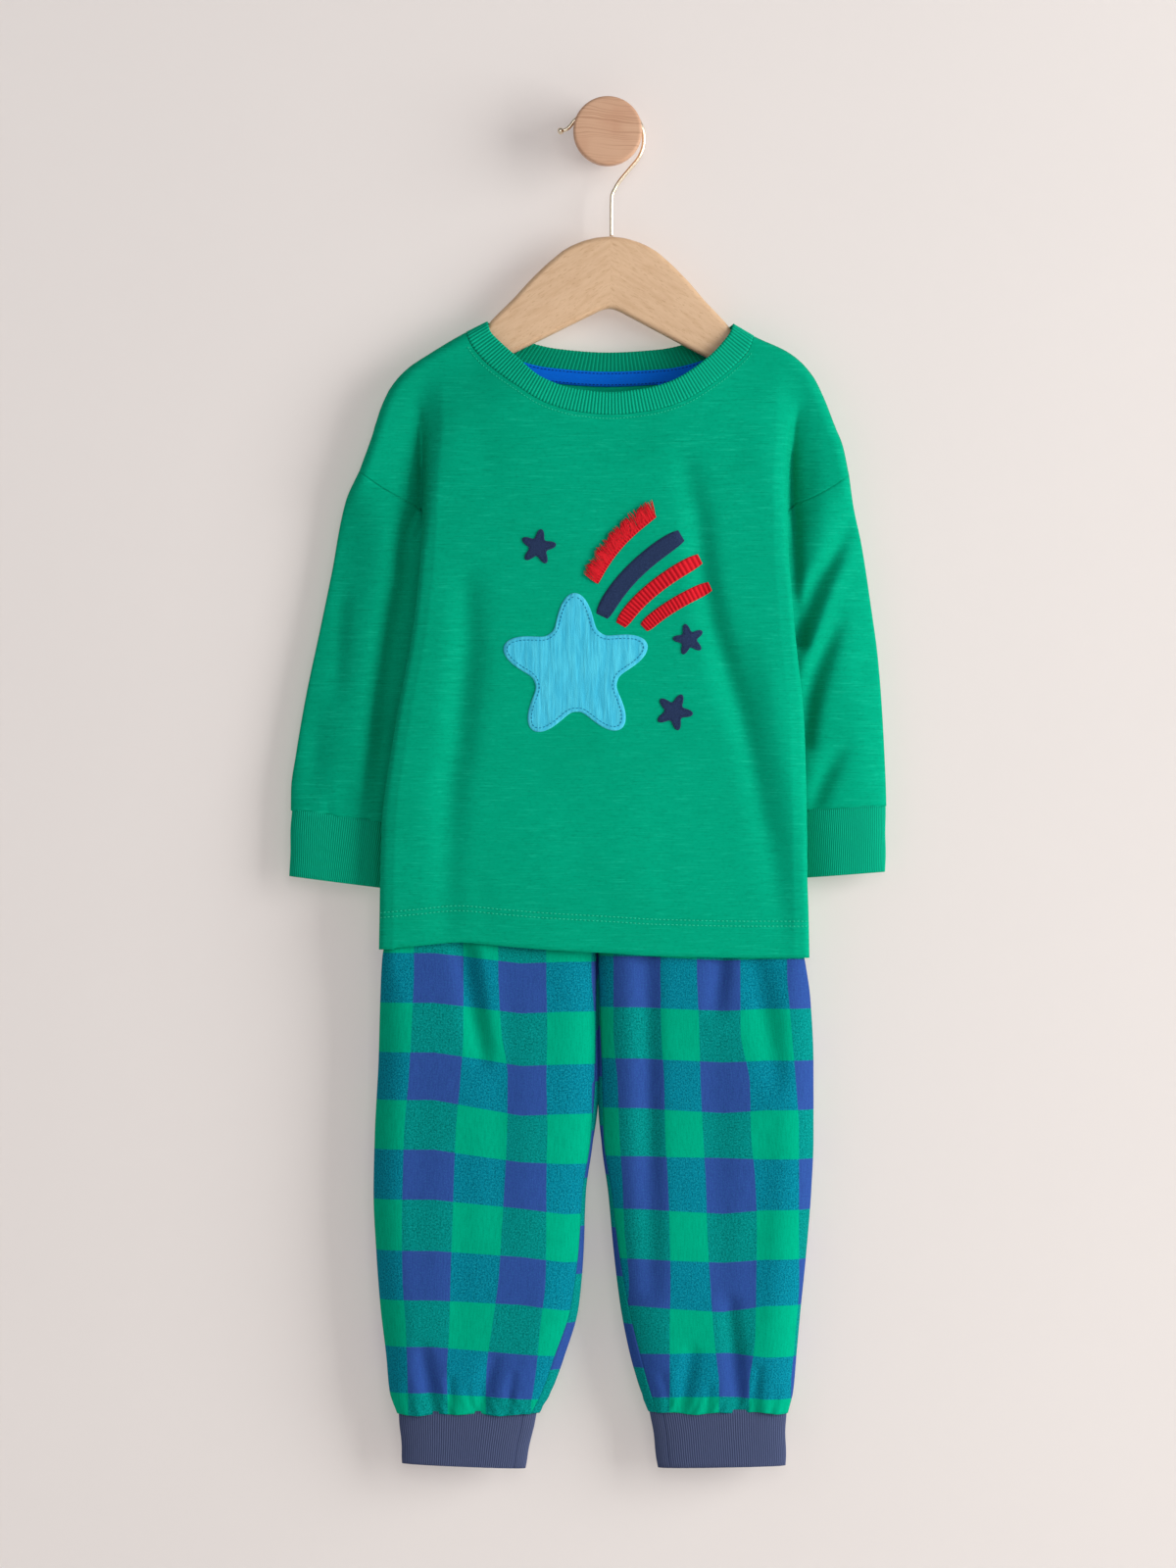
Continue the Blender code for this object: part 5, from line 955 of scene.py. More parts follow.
def makeNeckband():
    halves, rings = [], []
    for seam, free, way in (("neckFront", "freeFront", 1), ("neckBack", "freeBack", -1)):
        halves.append((evenLine(top[seam][::way], 241), evenLine(neck[free][::way], 241)))
    for share in np.linspace(0.012, 1, 11):
        ring = []
        for number, (seam, free) in enumerate(halves):
            x, z = mix(seam, free, share).T
            y = plainBack(x, z) if number else frontDepth(x, z, bodyLayer(x, z))
            ring += list(resample(np.stack([x, y, z], 1), neck["ribs"][number] * perRib + 1)[:-1])
        rings.append(ring + ring[:1])
    grid, marks = ribbed(rings, sum(neck["ribs"]), neck["rise"])
    return clothPiece("neck_rib", [grid], greenRibKnit, "green_rib", "neckband", neck["thick"], [marks])


neckPiece = makeNeckband()

tapeCut = {"half": 0.074, "width": 0.0094, "lap": 0.001, "middle": 0.002, "in": 0.0016, "bulge": 0.0003}
sizeTab = {"x": 0.0367, "half": 0.0019, "long": 0.0035, "lap": 0.0006, "in": 0.0018, "bulge": 0.0005}
blueTape = tapeFinish()
rows = []
for drop in np.linspace(-tapeCut["lap"], tapeCut["width"], 9):
    x = np.linspace(-tapeCut["half"], tapeCut["half"], 121) + tapeCut["middle"]
    z = lineZ("neckBack", x) - drop
    edge = abs(2 * drop - tapeCut["width"] + tapeCut["lap"]) / (tapeCut["width"] + tapeCut["lap"])
    rows.append(np.stack([x, plainBack(x, z) - tapeCut["in"] - tapeCut["bulge"] * (1 - edge ** 4), z], 1))
tapeGrid = np.array(rows)
neckTape = clothPiece("neck_tape_ribbon", [tapeGrid], blueTape, "neck_tape", "neck_tape", -0.5, None, toFront)
loop = []
for turn in np.linspace(-1, 1, 25):
    x, long = sizeTab["x"], sizeTab["long"] * (1 - abs(turn) ** 3)
    z = lineZ("neckBack", x) - tapeCut["width"] + sizeTab["lap"] - long
    y = plainBack(x, z) - sizeTab["in"] - sizeTab["bulge"] * math.sin(turn * math.pi / 2)
    loop.append([(x + across, y, z) for across in np.linspace(-sizeTab["half"], sizeTab["half"], 5)])
sizeLoop = clothPiece("size_loop", [np.array(loop)], blueTape, "neck_tape", "size_tab", 0.25, None, toFront)
print("ribs and tape made")


# the shooting star sewn on the front, places in mm

star = {"x": -22, "z": -372, "tip": 52, "valley": 30, "turn": 91, "points": 240, "rings": 34, "inset": 2.6}
smallStar = {"points": 90, "rings": 8, "inset": 1.4}
smallStars = ({"x": -48, "z": -288, "tip": 12.5, "valley": 6.6, "turn": 80, **smallStar},
              {"x": 56, "z": -352, "tip": 11, "valley": 5.8, "turn": 104, **smallStar},
              {"x": 46, "z": -402, "tip": 13, "valley": 6.8, "turn": 66, **smallStar})
patchHigh = 0.9
bands = {
    "fringe": {"x": (-8, 4, 33), "z": (-313, -286, -266), "width": 4.0, "ribs": 30, "steps": 144, "high": 0.9},
    "felt": {"x": (-4, 11, 51), "z": (-336, -304, -280), "width": 12.0, "ribs": 0, "steps": 70, "high": 0.9},
    "upper": {"x": (9, 24, 64), "z": (-342, -317, -296), "width": 10.0, "ribs": 24, "steps": 192, "high": 0.6},
    "lower": {"x": (25, 40, 71), "z": (-344, -329, -315), "width": 9.0, "ribs": 20, "steps": 160, "high": 0.6},
}
strand = {"count": 290, "long": 0.0112, "radius": 0.00026, "turned": 0.22, "wander": 0.12, "sway": 0.0007}


def starLine(own, inset=0.0):
    k = np.arange(own["points"] + 1) / own["points"]
    swing = (1 + np.cos(2 * math.pi * 5 * k)) / 2
    radius = mix(own["valley"], own["tip"], swing ** 1.35)
    angle = math.radians(own["turn"]) + 2 * math.pi * k
    line = np.stack([own["x"] + radius * np.cos(angle), own["z"] + radius * np.sin(angle)], 1) * mm
    if inset:
        run = np.gradient(line[:-1], axis=0)
        run[[0, -1]] = line[1] - line[-2]
        run = unit(run)
        line[:-1] -= np.stack([run[:, 1], -run[:, 0]], 1) * inset * mm
        line[-1] = line[0]
    return line


def laidOn(places, height, crinkle=None):  # a grid of x and z laid on the front's cloth
    rows = []
    for row, high in zip(places, height):
        lifts = [high * mm + (crinkle(x, z) * min(1, high) if crinkle else 0) for x, z in row]
        rows.append([onFront(x, z, lift)[0] for (x, z), lift in zip(row, lifts)])
    return np.array(rows)


def starPatch(name, own, finish, slotName, node, crinkle=None):
    line = starLine(own)
    middle = np.array((own["x"], own["z"])) * mm
    shares = np.concatenate([np.linspace(0, 0.955, own["rings"]), [0.985, 1.0, 1.003]])
    places = [middle + (line - middle) * share for share in shares]
    height = [patchHigh] * own["rings"] + [patchHigh * 0.85, patchHigh * 0.45, 0.05]
    return clothPiece(name, [laidOn(places, height, crinkle)], finish, slotName, node, toward=toFront)


def gauzeCrinkle(x, z):
    wave = math.sin(x / 0.0021 + 1.4 * math.sin(z / 0.011 + x * 160))
    return 0.00013 * (wave + 0.6 * math.sin(x / 0.0013 + 2.2 * math.sin(z / 0.008) + 1))


starPiece = starPatch("star_gauze", star, gauzeCloth, "gauze", "star_patch", gauzeCrinkle)
smallPieces = [starPatch(f"small_star_{n}_felt", own, navyFelt, "navy_felt", f"small_star_{n}")
               for n, own in enumerate(smallStars, 1)]


def bandPlace(band, share, across):  # along a band's bend, and across it from -1 to 1
    start, bend, end = np.array([band["x"], band["z"]]).T * mm
    x, z = (1 - share) ** 2 * start + 2 * share * (1 - share) * bend + share ** 2 * end
    dx, dz = 2 * (1 - share) * (bend - start) + 2 * share * (end - bend)
    long, half = math.hypot(dx, dz), band["width"] / 2 * mm
    return x - dz / long * across * half, z + dx / long * across * half


def bandPatch(name, kind, finish, slotName, node):
    band, rows, marks = bands[kind], [], []
    steps, ribs = band["steps"], band["ribs"]
    for across in (-1.02, -1, -0.97, -0.88, -0.6, -0.3, 0, 0.3, 0.6, 0.88, 0.97, 1, 1.02):
        edge = np.clip((1.02 - abs(across)) / 0.1, 0, 1)
        row, note = [], []
        for share in np.arange(steps + 1) / steps:
            x, z = bandPlace(band, share, across * (1 - 0.3 * abs(2 * share - 1) ** 8))
            flat = math.sqrt(edge * np.clip(min(share, 1 - share) * steps / 3, 0, 1))
            crest = 0.5 + 0.5 * math.cos(2 * math.pi * share * ribs)
            row.append(onFront(x, z, (0.05 + flat * (band["high"] + (0.55 * crest if ribs else 0))) * mm)[0])
            # on the ribbed bands the mark halves toward the edges and ends, painting shade where the band sinks
            # into the cloth
            note.append((crest * (0.5 + 0.5 * flat), 0, 0))
        rows.append(row)
        marks.append(note)
    return clothPiece(name, [np.array(rows)], finish, slotName, node, 0.0, [np.array(marks, float)], toFront)


feltBand = bandPatch("tail_felt_band", "felt", navyFelt, "navy_felt", "tail_felt")
upperBar = bandPatch("tail_upper_bar", "upper", redTrim, "red_trim", "tail_rib_upper")
lowerBar = bandPatch("tail_lower_bar", "lower", redTrim, "red_trim", "tail_rib_lower")
redThread = threadFinish("red fringe thread")

fringe = []
for k in range(strand["count"]):
    share = (k + draw.uniform(0.1, 0.9)) / strand["count"]
    band = bands["fringe"]
    root = np.array(bandPlace(band, share, draw.uniform(-0.6, 0.6)))
    out = np.array(bandPlace(band, share, 3.0)) - root
    run = np.subtract(bandPlace(band, min(share + 0.01, 1), 0), bandPlace(band, max(share - 0.01, 0), 0))
    lean = strand["turned"] + 0.2 * math.sin(k * 0.11) + draw.normal(0, strand["wander"])
    way = unit(unit(out) + unit(run) * lean)
    long = strand["long"] * draw.uniform(0.8, 1.08)
    sway, level = draw.normal(0, strand["sway"]), draw.uniform(0.3, 1.6)
    route = []
    for t in np.linspace(0, 1, 7):
        x, z = root + way * long * t + np.array((-way[1], way[0])) * sway * math.sin(t * 2.6)
        route.append(onFront(x, z, (0.9 + level * t * 0.8 + 0.4 * math.sin(t * 3.1)) * mm)[0])
    fringe.append(threadTube(route, strand["radius"]))
fringeThreads = threadPiece("tail_fringe_threads", fringe, redThread, "red_trim", ("tail_fringe",))
fringeStrip = bandPatch("tail_fringe_strip", "fringe", redTrim, "red_trim", "tail_fringe")

# pitch in mm, the share of it that shows, radius and rise in mm
stitchKinds = {
    "star": (2.7, 0.7, 0.27, 0.25), "smallStar": (2.2, 0.7, 0.16, 0.15), "felt": (2.4, 0.7, 0.17, 0.15),
    "bar": (2.3, 0.7, 0.17, 0.15), "hem": (2.9, 0.6, 0.3, 0.3), "neck": (2.4, 0.55, 0.26, 0.3),
    "tape": (2.6, 0.6, 0.3, 0.3),
}


def stitchOn(line, lift, height, kind, way=1):
    found = [lift(x, z, height * mm, way) for x, z in line]
    places, normals = zip(*[pair for pair in found if pair[0] is not None])
    return stitches(places, normals, *stitchKinds[kind])


def alongBand(name, across, height, kind):
    line = [bandPlace(bands[name], share, across) for share in np.linspace(0.03, 0.97, 60)]
    return stitchOn(line, onFront, height, kind)


sky = stitchOn(starLine(star, star["inset"]), onFront, 1.0, "star")
skySeam = threadPiece("star_stitching", sky, threadFinish("sky stitching"), "gauze")
navy = []
for own in smallStars:
    navy += stitchOn(starLine(own, own["inset"]), onFront, 0.95, "smallStar")
for across in (-0.78, 0.78):
    navy += alongBand("felt", across, 0.95, "felt")
navySeam = threadPiece("felt_stitching", navy, threadFinish("navy stitching"), "navy_felt")
red = []
for name in ("upper", "lower"):
    for across in (-0.8, 0.8):
        red += alongBand(name, across, 1.15, "bar")
redSeam = threadPiece("tail_stitching", red, redThread, "red_trim")
print("shooting star made")


# hem, neck and tape stitching

seamRows = {"hem": (22.0, 25.4), "hemFrom": -0.1575, "hemTo": 0.1390, "neckOut": 0.0027, "tape": (1, 7)}
green = []
for above in seamRows["hem"]:
    line = [(x, lineZ("hem", x) + above * mm) for x in np.linspace(seamRows["hemFrom"], seamRows["hemTo"], 240)]
    green += stitchOn(line, onFront, 0.1, "hem") + stitchOn(line, onBack, 0.1, "hem", -1)
neckSeam = evenLine(top["neckFront"], 200)
outward = unit(np.gradient(neckSeam, axis=0)) @ ((0, -1), (1, 0))
green += stitchOn((neckSeam + outward * seamRows["neckOut"])[8:-8], onFront, 0.1, "neck")
greenSeams = threadPiece("green_stitching", green, threadFinish("green stitching"), "jersey")
blue = []
for row in seamRows["tape"]:
    line = tapeGrid[row] + (0, -0.0007, 0)
    blue += stitches(line, np.tile(toFront, (len(line), 1)), *stitchKinds["tape"])
blueSeams = threadPiece("tape_stitching", blue, threadFinish("tape stitching"), "neck_tape")
print("stitching made")


# trousers, sections of each leg in mm, outward from the middle, seam in degrees round to the front

legHeights = (-397.5, -430, -475, -515, -530, -548, -572, -601.5, -644.3, -697, -736.1, -778.3, -815, -849,
              -874, -888.5)
legs = {
    -1: {
        "z": legHeights,
        "outer": (112, 121.5, 131, 139.5, 144, 150, 156.2, 157.8, 159.1, 161.8, 162.6, 160.6, 157.8, 153.8,
                  151.4, 146.4),
        "inner": (7.3, 7.3, 7.3, 7.3, 7.3, 7.3, 7.4, 7.3, 7.2, 9.9, 15, 16.7, 20, 29.8, 39.2, 47.4),
    },
    1: {
        "z": (*legHeights[:-1], -887.5),
        "outer": (106, 111, 118, 123.5, 127.5, 132, 136.4, 140.8, 143, 143.1, 141.4, 138, 134.3, 131.2,
                  128.9, 125.4),
        "inner": (-7, -7, -7, -7, -7, -7, -6.9, -6.2, -5.2, -4.4, 0.4, 4.4, 9, 15.8, 23.2, 28),
    },
}
legDepths = {
    "front": (-35, -37.4, -37.6, -37.9, -38.2, -38.8, -40.2, -41.5, -42, -42.4, -42.4, -42.2, -41.8, -41,
              -39.4, -35.8),
    "back": (-10, -9.8, -9.6, -9.4, -9.4, -9.4, -9.2, -9, -8.8, -8.6, -8.4, -8.4, -8.8, -9.6, -11, -14.4),
    "edge": (-25, -32, -34, -34.4, -34.4, -34.2, -33.5, -29, -26.2, -25.5, -25.2, -25, -25, -25, -25, -25),
    "round": (12, 24, 34, 36, 34, 30, 26, 24, 26, 28, 30, 30, 28, 26, 22, 18),
    "across": (2, 2, 3, 4, 10, 18, 24, 28, 32, 34, 34, 32, 30, 28, 24, 20),
    "seam": (0, 0, 0, 0, 0, 6, 8, 10, 14, 18, 22, 28, 36, 42, 44, 46),
}
for own in legs.values():
    own.update(legDepths)
trousers = {
    "crotch": -0.548, "riseTop": -0.5, "turn": 0.0015, "crown": -0.0012, "pitch": 33.9,
    # x0, z0, x1, z1, width, depth, as in the top
    "creases": ((-102, -552, -87, -640, 7.5, 6.0), (-90, -556, -76, -640, 8, -1.8),
                (27, -556, 29, -800, 8.5, 5.4), (80, -560, 75, -606, 7, 4.6), (101, -572, 117, -655, 9, 4.0),
                (-128, -846, -119, -892, 6, 4.6), (-80, -852, -90, -892, 6, 3.8),
                (84, -812, 92, -892, 6.5, 5.2), (58, -846, 50, -892, 6, 3.6)),
    "fine": ((-72, -600, -74, -760, 12, 1.6), (-36, -600, -40, -780, 12, 1.2), (72, -640, 78, -800, 12, 1.8),
             (108, -700, 100, -830, 11, 1.6), (-100, -700, -104, -840, 10, 1.0),
             (-130, -650, -134, -800, 12, 1.0), (-109, -864, -109, -892, 3.2, 2.0),
             (-96, -872, -95, -892, 2.6, 1.2), (-66, -862, -70, -892, 3.4, 1.8), (38, -862, 44, -892, 3.4, 2.2),
             (70, -870, 68, -892, 2.8, 1.4), (104, -858, 101, -892, 3.6, 2.4), (116, -872, 113, -892, 2.6, 1.4),
             (-140, -866, -136, -892, 3.2, 1.6)),
    "gather": 0.0003, "gatherHigh": 0.026, "puffHigh": 0.012, "closeRows": -0.845, "pressed": 0.00012,
    "backCheck": (0.9, 0.66),  # where the back's check begins
    # how far the inner sides bulge to meet each other, by height
    "meet": ((-700, 0), (-684, 1.3), (-670, 1.8), (-644, 1.25), (-601.5, 0.75), (-572, 0.4), (-552, 0.25),
             (-540, 0)),
}
# where the check's stripes change, in mm, each boundary at a half number of stripes
checks = {
    -1: {
        "levels": (-586.5, -622, -655, -690.6, -724.8, -758.1, -793.5, -826.8, -860.1, -881),
        "columns": ((-134, -135.7, -137.6, -140.7, -141.8, -142.4, -142, -139.7, -138.6, -138.2),
                    (-99.7, -99.7, -101.8, -104.9, -106.4, -107.4, -108.7, -109.5, -111.2, -110.8),
                    (-75.8, -73.7, -69.1, -69.5, -71, -73.1, -75.4, -79.9, -84.1, -84.5),
                    (-42.5, -41.8, -42.5, -41.8, -42.5, -42.5, -42.9, -46.6, -49.8, -53),
                    (-11.2, -8.8, -9.2, -8.3, -9, -9, -9.4, -13.1, -16.3, -19.5)),
        "stations": (-120, -60, -30),
        "rows": ((-568.8, -603.3, -637.6, -670.5, -704.8, -739.4, -774.8, -809.1, -841.4, -873.7),
                 (-576, -610.6, -647, -681.4, -713.5, -745.6, -779, -812.3, -846.6, -877.8),
                 (-575, -609.5, -646, -680.3, -715, -749.8, -783, -816.5, -848.7, -879)),
    },
    1: {
        "levels": (-586.5, -622, -659.5, -692.7, -727, -762, -797.7, -833, -864.3),
        "columns": ((4, 4, 6.9, 8.1, 10.2, 11.7, 14.8, 12.9, 12.9),
                    (36.6, 37.1, 39.3, 39.8, 41.8, 42.9, 43.5, 42.9, 42.9),
                    (61.6, 63.3, 64.3, 65.8, 67.9, 68.9, 71, 73.5, 77.2),
                    (91.8, 91.8, 98.4, 99.1, 102.2, 103.3, 102.8, 102.2, 98),
                    (124.1, 127.2, 130.3, 132.4, 132.4, 132.4, 132.8, 130.3, 127.2)),
        "stations": (20, 80, 110),
        "rows": ((-571, -606.4, -641.8, -676.1, -709.4, -746, -780.6, -813.3, -846.6, -877),
                 (-574, -608.9, -644.5, -679.7, -710.6, -749.4, -783.1, -817.5, -845.6, -876),
                 (-573, -607.4, -643.4, -677.5, -711.5, -746.7, -781, -812.9, -848.7, -878)),
    },
}
arcSteps, flatSteps, wrapSteps = 14, 45, 7  # points round a corner, across a face and round to the front


def stripeAcross(side, line):  # stripes counted across a front, by cloth length beyond the outermost marks
    own = checks[side]
    z = line[:, 2].mean() / mm
    marks = np.array([smoothLine(own["levels"], values, z) for values in own["columns"]])
    x = line[:, 0] / mm
    reach = reachOf(line) / mm
    order = np.argsort(x)
    along = np.interp(marks, x[order], reach[order])
    inside = (marks > x.min() + 0.5) & (marks < x.max() - 0.5)
    along, count = along[inside], (np.arange(len(marks)) + 0.5)[inside]
    if along[0] > along[-1]:
        along, count = along[::-1], count[::-1]
    way = 1 if count[-1] > count[0] else -1
    u = np.interp(reach, along, count)
    u = np.where(reach < along[0], count[0] + way * (reach - along[0]) / trousers["pitch"], u)
    return np.where(reach > along[-1], count[-1] + way * (reach - along[-1]) / trousers["pitch"], u)


def stripeDown(side, x, z):
    own = checks[side]
    count = np.arange(len(own["rows"][0])) + 0.5
    x, z = x / mm, z / mm
    at = []
    for values in own["rows"]:
        values = np.array(values)
        v = np.interp(-z, -values, count)
        v = np.where(z > values[0], 0.5 - (z - values[0]) / trousers["pitch"], v)
        at.append(np.where(z < values[-1], count[-1] + (values[-1] - z) / trousers["pitch"], v))
    share = np.interp(x, own["stations"], (0, 1, 2))
    low = np.clip(share.astype(int), 0, 1)
    at = np.array(at)
    here = np.arange(len(x))
    return mix(at[low, here], at[low + 1, here], share - low)


def gathered(line, z, bottom, seed):  # cloth drawn into the ankle rib, along the line's own normals
    reach = reachOf(line)
    near = ease(1 - (z - bottom) / trousers["gatherHigh"])
    wave = np.sin(reach / 0.0095 * 6.28 + seed + 1.3 * np.sin(reach / 0.031))
    wave = wave + 0.6 * np.sin(reach / 0.0063 * 6.28 + seed * 2)
    run = np.gradient(line, axis=0)
    normal = unit(np.stack([run[:, 1], -run[:, 0]], 1))
    ends = ease(np.minimum(reach, reach[-1] - reach) / 0.006)
    return line + normal * (wave * trousers["gather"] * near * ends)[:, None]


def corner(x, y, wide, deep, arc):  # a quarter round in x and y, from its side to its face
    return np.stack([x + wide * np.cos(arc), y - deep * np.sin(arc)], 1)


def legSection(side, z, bottom):  # front and back of a leg at one height, outer side first
    names = ("outer", "inner", "front", "back", "edge", "round", "across")
    outer, inner, front, back, edge, roundness, across = [read(legs[side], name, z) for name in names]
    arc = np.radians(np.linspace(0, 90, arcSteps))
    drop = edge - front
    tight = min(roundness, 1.4 * drop)
    across = min(across, (outer - inner) / 3)
    last = inner + across
    risen = ease((trousers["riseTop"] - z) / (trousers["riseTop"] - trousers["crotch"]))
    middle = (front + back) / 2
    frontDeep, backDeep = [mix(trousers["turn"], abs(middle - face), risen) for face in (front, back)]
    wrapped = read(legs[side], "seam", z) / mm * ease((trousers["crotch"] - z) / 0.006)
    toSeam = np.radians(np.linspace(0, 90 - wrapped, arcSteps))
    meet = tableAt(trousers["meet"], z)
    flat = np.linspace(outer - tight, last, flatSteps + 2)[1:-1]
    frontLine = np.concatenate([
        corner(outer - tight, edge, tight, drop, arc),
        np.stack([flat, np.full(flatSteps, front)], 1),
        np.stack([last - across * np.sin(toSeam), front + frontDeep * (1 - np.cos(toSeam))], 1)])
    ramp = np.concatenate([np.linspace(0, 1, arcSteps), np.ones(flatSteps), np.linspace(1, 0, arcSteps)])
    x = side * frontLine[:, 0]
    loose = creased(trousers["creases"] + trousers["fine"], x, z) + uneven(x, z, 0.08, 31) * 0.0005
    frontLine[:, 1] += (trousers["crown"] + loose) * ramp
    flat = np.linspace(outer - roundness, last, 33)[1:-1]
    turn = np.radians(np.linspace(90, 90 - wrapped, wrapSteps + 1))[1:]
    fades = meet * np.linspace(1, 0, wrapSteps + 1)[1:]
    wrap = np.stack([last - across * np.sin(turn) - fades, front + frontDeep * (1 - np.cos(turn))], 1)
    wrap[-1] -= unit(frontLine[-2] - frontLine[-1]) * trousers["pressed"]
    inward = across * np.sin(arc) + meet * np.sin(arc) ** 6
    backLine = np.concatenate([
        corner(outer - roundness, edge, roundness, edge - back, arc),
        np.stack([flat, back + uneven(side * flat, z, 0.07, 33) * 0.0007], 1),
        np.stack([last - inward, back - backDeep * (1 - np.cos(arc))], 1), wrap])
    backLine[0, 1] += 0.0001
    found = []
    for number, line in enumerate((frontLine, backLine)):
        line = gathered(line * (side, 1), z, bottom, side + number * 2)
        found.append(np.concatenate([line, np.full((len(line), 1), z)], 1))
    return found


def makeLeg(side):
    highest, bottom = legs[side]["z"][0] * mm, legs[side]["z"][-1] * mm
    z = np.concatenate([np.linspace(highest, trousers["closeRows"], 150, endpoint=False),
                        np.linspace(trousers["closeRows"], bottom, 42)])
    sections = [legSection(side, high, bottom) for high in z]
    front, back = [np.array(rows) for rows in zip(*sections)]
    frontMarks, backMarks = np.zeros_like(front), np.zeros_like(back)
    for k in range(len(z)):
        frontMarks[k, :, 0] = stripeAcross(side, front[k])
        frontMarks[k, :, 1] = stripeDown(side, front[k, :, 0], front[k, :, 2])
        reach = reachOf(back[k]) / mm
        backMarks[k, :, 0] = (reach[-1] - reach) / trousers["pitch"] + trousers["backCheck"][0]
        down = stripeDown(side, np.full(back.shape[1], side * 0.05), back[k, :, 2])
        backMarks[k, :, 1] = down + trousers["backCheck"][1]
    near = ease((bottom + trousers["puffHigh"] - z) / trousers["puffHigh"])[:, None]
    around = front[-1, :, 0] / mm  # the gathered edge puffs a little below the seam
    front[..., 2] -= near * mm * (0.5 + 0.5 * np.sin(around / 4.6 + side) + 0.5 * np.sin(around / 10.3 + 2))
    below = z < trousers["crotch"]
    sheets = {"front": ([front], [frontMarks], toFront), "back": (
        [back[:, :-wrapSteps], back[below][:, -wrapSteps - 1:]],
        [backMarks[:, :-wrapSteps], backMarks[below][:, -wrapSteps - 1:]], None)}
    made = []
    for face, (grids, marks, toward) in sheets.items():
        node = f"leg_{face}_{words[side]}"
        made.append(clothPiece(node + "_cloth", grids, flannelCloth, "check_flannel", node, 1.1, marks, toward))
    return made


legPieces = {side: makeLeg(side) for side in (-1, 1)}

waist = {"outer": 106.8, "inner": -112.8, "front": -35.6, "back": -9.4, "slant": 0, "tuck": 0, "top": -370,
         "bottom": -397.2, "middle": -22.5, "roundness": 3.2, "points": 420, "stripes": 14, "deep": 0.8}
around = np.arange(waist["points"] + 1) / waist["points"]
turn = around * 2 * math.pi
puff = (0.5 * np.sin(turn * 46 + 0.6 * np.sin(turn * 5)) + 0.3 * np.sin(turn * 71 + 1)) * mm
rings, marks = [], []
for share in np.linspace(0, 1, 16):
    end = {**waist, "z": mix(waist["top"], waist["bottom"], share)}
    ring = oval(end, 1, waist["points"], waist["roundness"])
    way = np.where(ring[:, 1] < waist["middle"] * mm, -1, 1)
    ring[:, 1] += way * puff * (0.6 + 0.4 * math.sin(share * 6))
    rings.append(ring)
    marks.append(np.stack([around * waist["stripes"], around * 0 + share * waist["deep"] + 4.5, around * 0], 1))
waistband = clothPiece("waistband_cloth", [np.array(rings)], flannelCloth, "check_flannel", "waistband", 2.2,
                       [np.array(marks)])
print("trousers made")


# hanger, hook and peg, places in mm

hanger = {
    "middle": (2.0, -71.1), "tilt": -0.9, "thick": 11.0, "round": 3.6, "step": 1.2, "soft": 3, "sharp": 50,
    "apex": 49.9,
    "top": ((0, 0), (10, 1), (19.4, 3.6), (27, 6.9), (33.4, 10.7), (44.6, 20.4), (55.4, 31.2), (66.7, 44.2),
            (76, 53.5), (82.2, 60), (85.6, 65), (93, 72.2), (101, 77.2), (125, 88.2), (134.5, 96),
            (139, 103.5), (140.5, 110), (137.5, 115)),
    "under": ((129, 115.2), (110, 105), (88, 94), (67.3, 83), (30, 64), (6, 51.6)),
}


def softened(line, width):  # a closed line with its corners eased
    closed = np.concatenate([line, line[:1]])
    even = resample(closed, int(reachOf(closed)[-1] / hanger["step"]) + 1)[:-1]
    shares = {k: 1 + math.cos(math.pi * k / (width + 1)) for k in range(-width, width + 1)}
    return sum(np.roll(even, k, axis=0) * share for k, share in shares.items()) / sum(shares.values())


def makeHanger():
    half = np.array(hanger["top"] + hanger["under"], float)
    outline = softened(np.concatenate([half, [(0, hanger["apex"])], half[:0:-1] * (-1, 1)]), hanger["soft"])
    cos, sin = math.cos(math.radians(hanger["tilt"])), math.sin(math.radians(hanger["tilt"]))
    line = outline @ ((cos, sin), (sin, -cos)) + hanger["middle"]
    run = unit(np.roll(line, -1, axis=0) - np.roll(line, 1, axis=0))
    inward = np.stack([run[:, 1], -run[:, 0]], 1)
    flat, rings = hanger["thick"] / 2 - hanger["round"], []
    for turn in np.radians(np.linspace(-90, 90, 15)):
        x, z = (line + inward * hanger["round"] * (1 - math.cos(turn))).T
        y = (math.copysign(flat, turn) if abs(turn) > 0.01 else 0) + hanger["round"] * math.sin(turn)
        rings.append(np.stack([x, np.full(len(x), y + top["ridge"] / mm), z], 1) * mm)
    solidPiece("hanger_wood", rings, beechFinish(), "beech", "hanger", hanger["sharp"])


makeHanger()
hook = {
    "radius": 1.4, "cap": 2.4, "capStart": 3.7, "shoulder": 0.3, "capEnd": 1.6, "centre": (0.3, -3.3),
    "bend": 25.0, "from": -36, "to": 138, "stem": ((2.7, -70.8), (2.7, -56), (2.9, -44), (6, -36.2)),
    "tail": ((-23.1, 9.6), (-26.2, 5.6), (-29.2, 3.2), (-34.8, 2)), "steps": 1600, "rings": 190, "sides": 18,
}


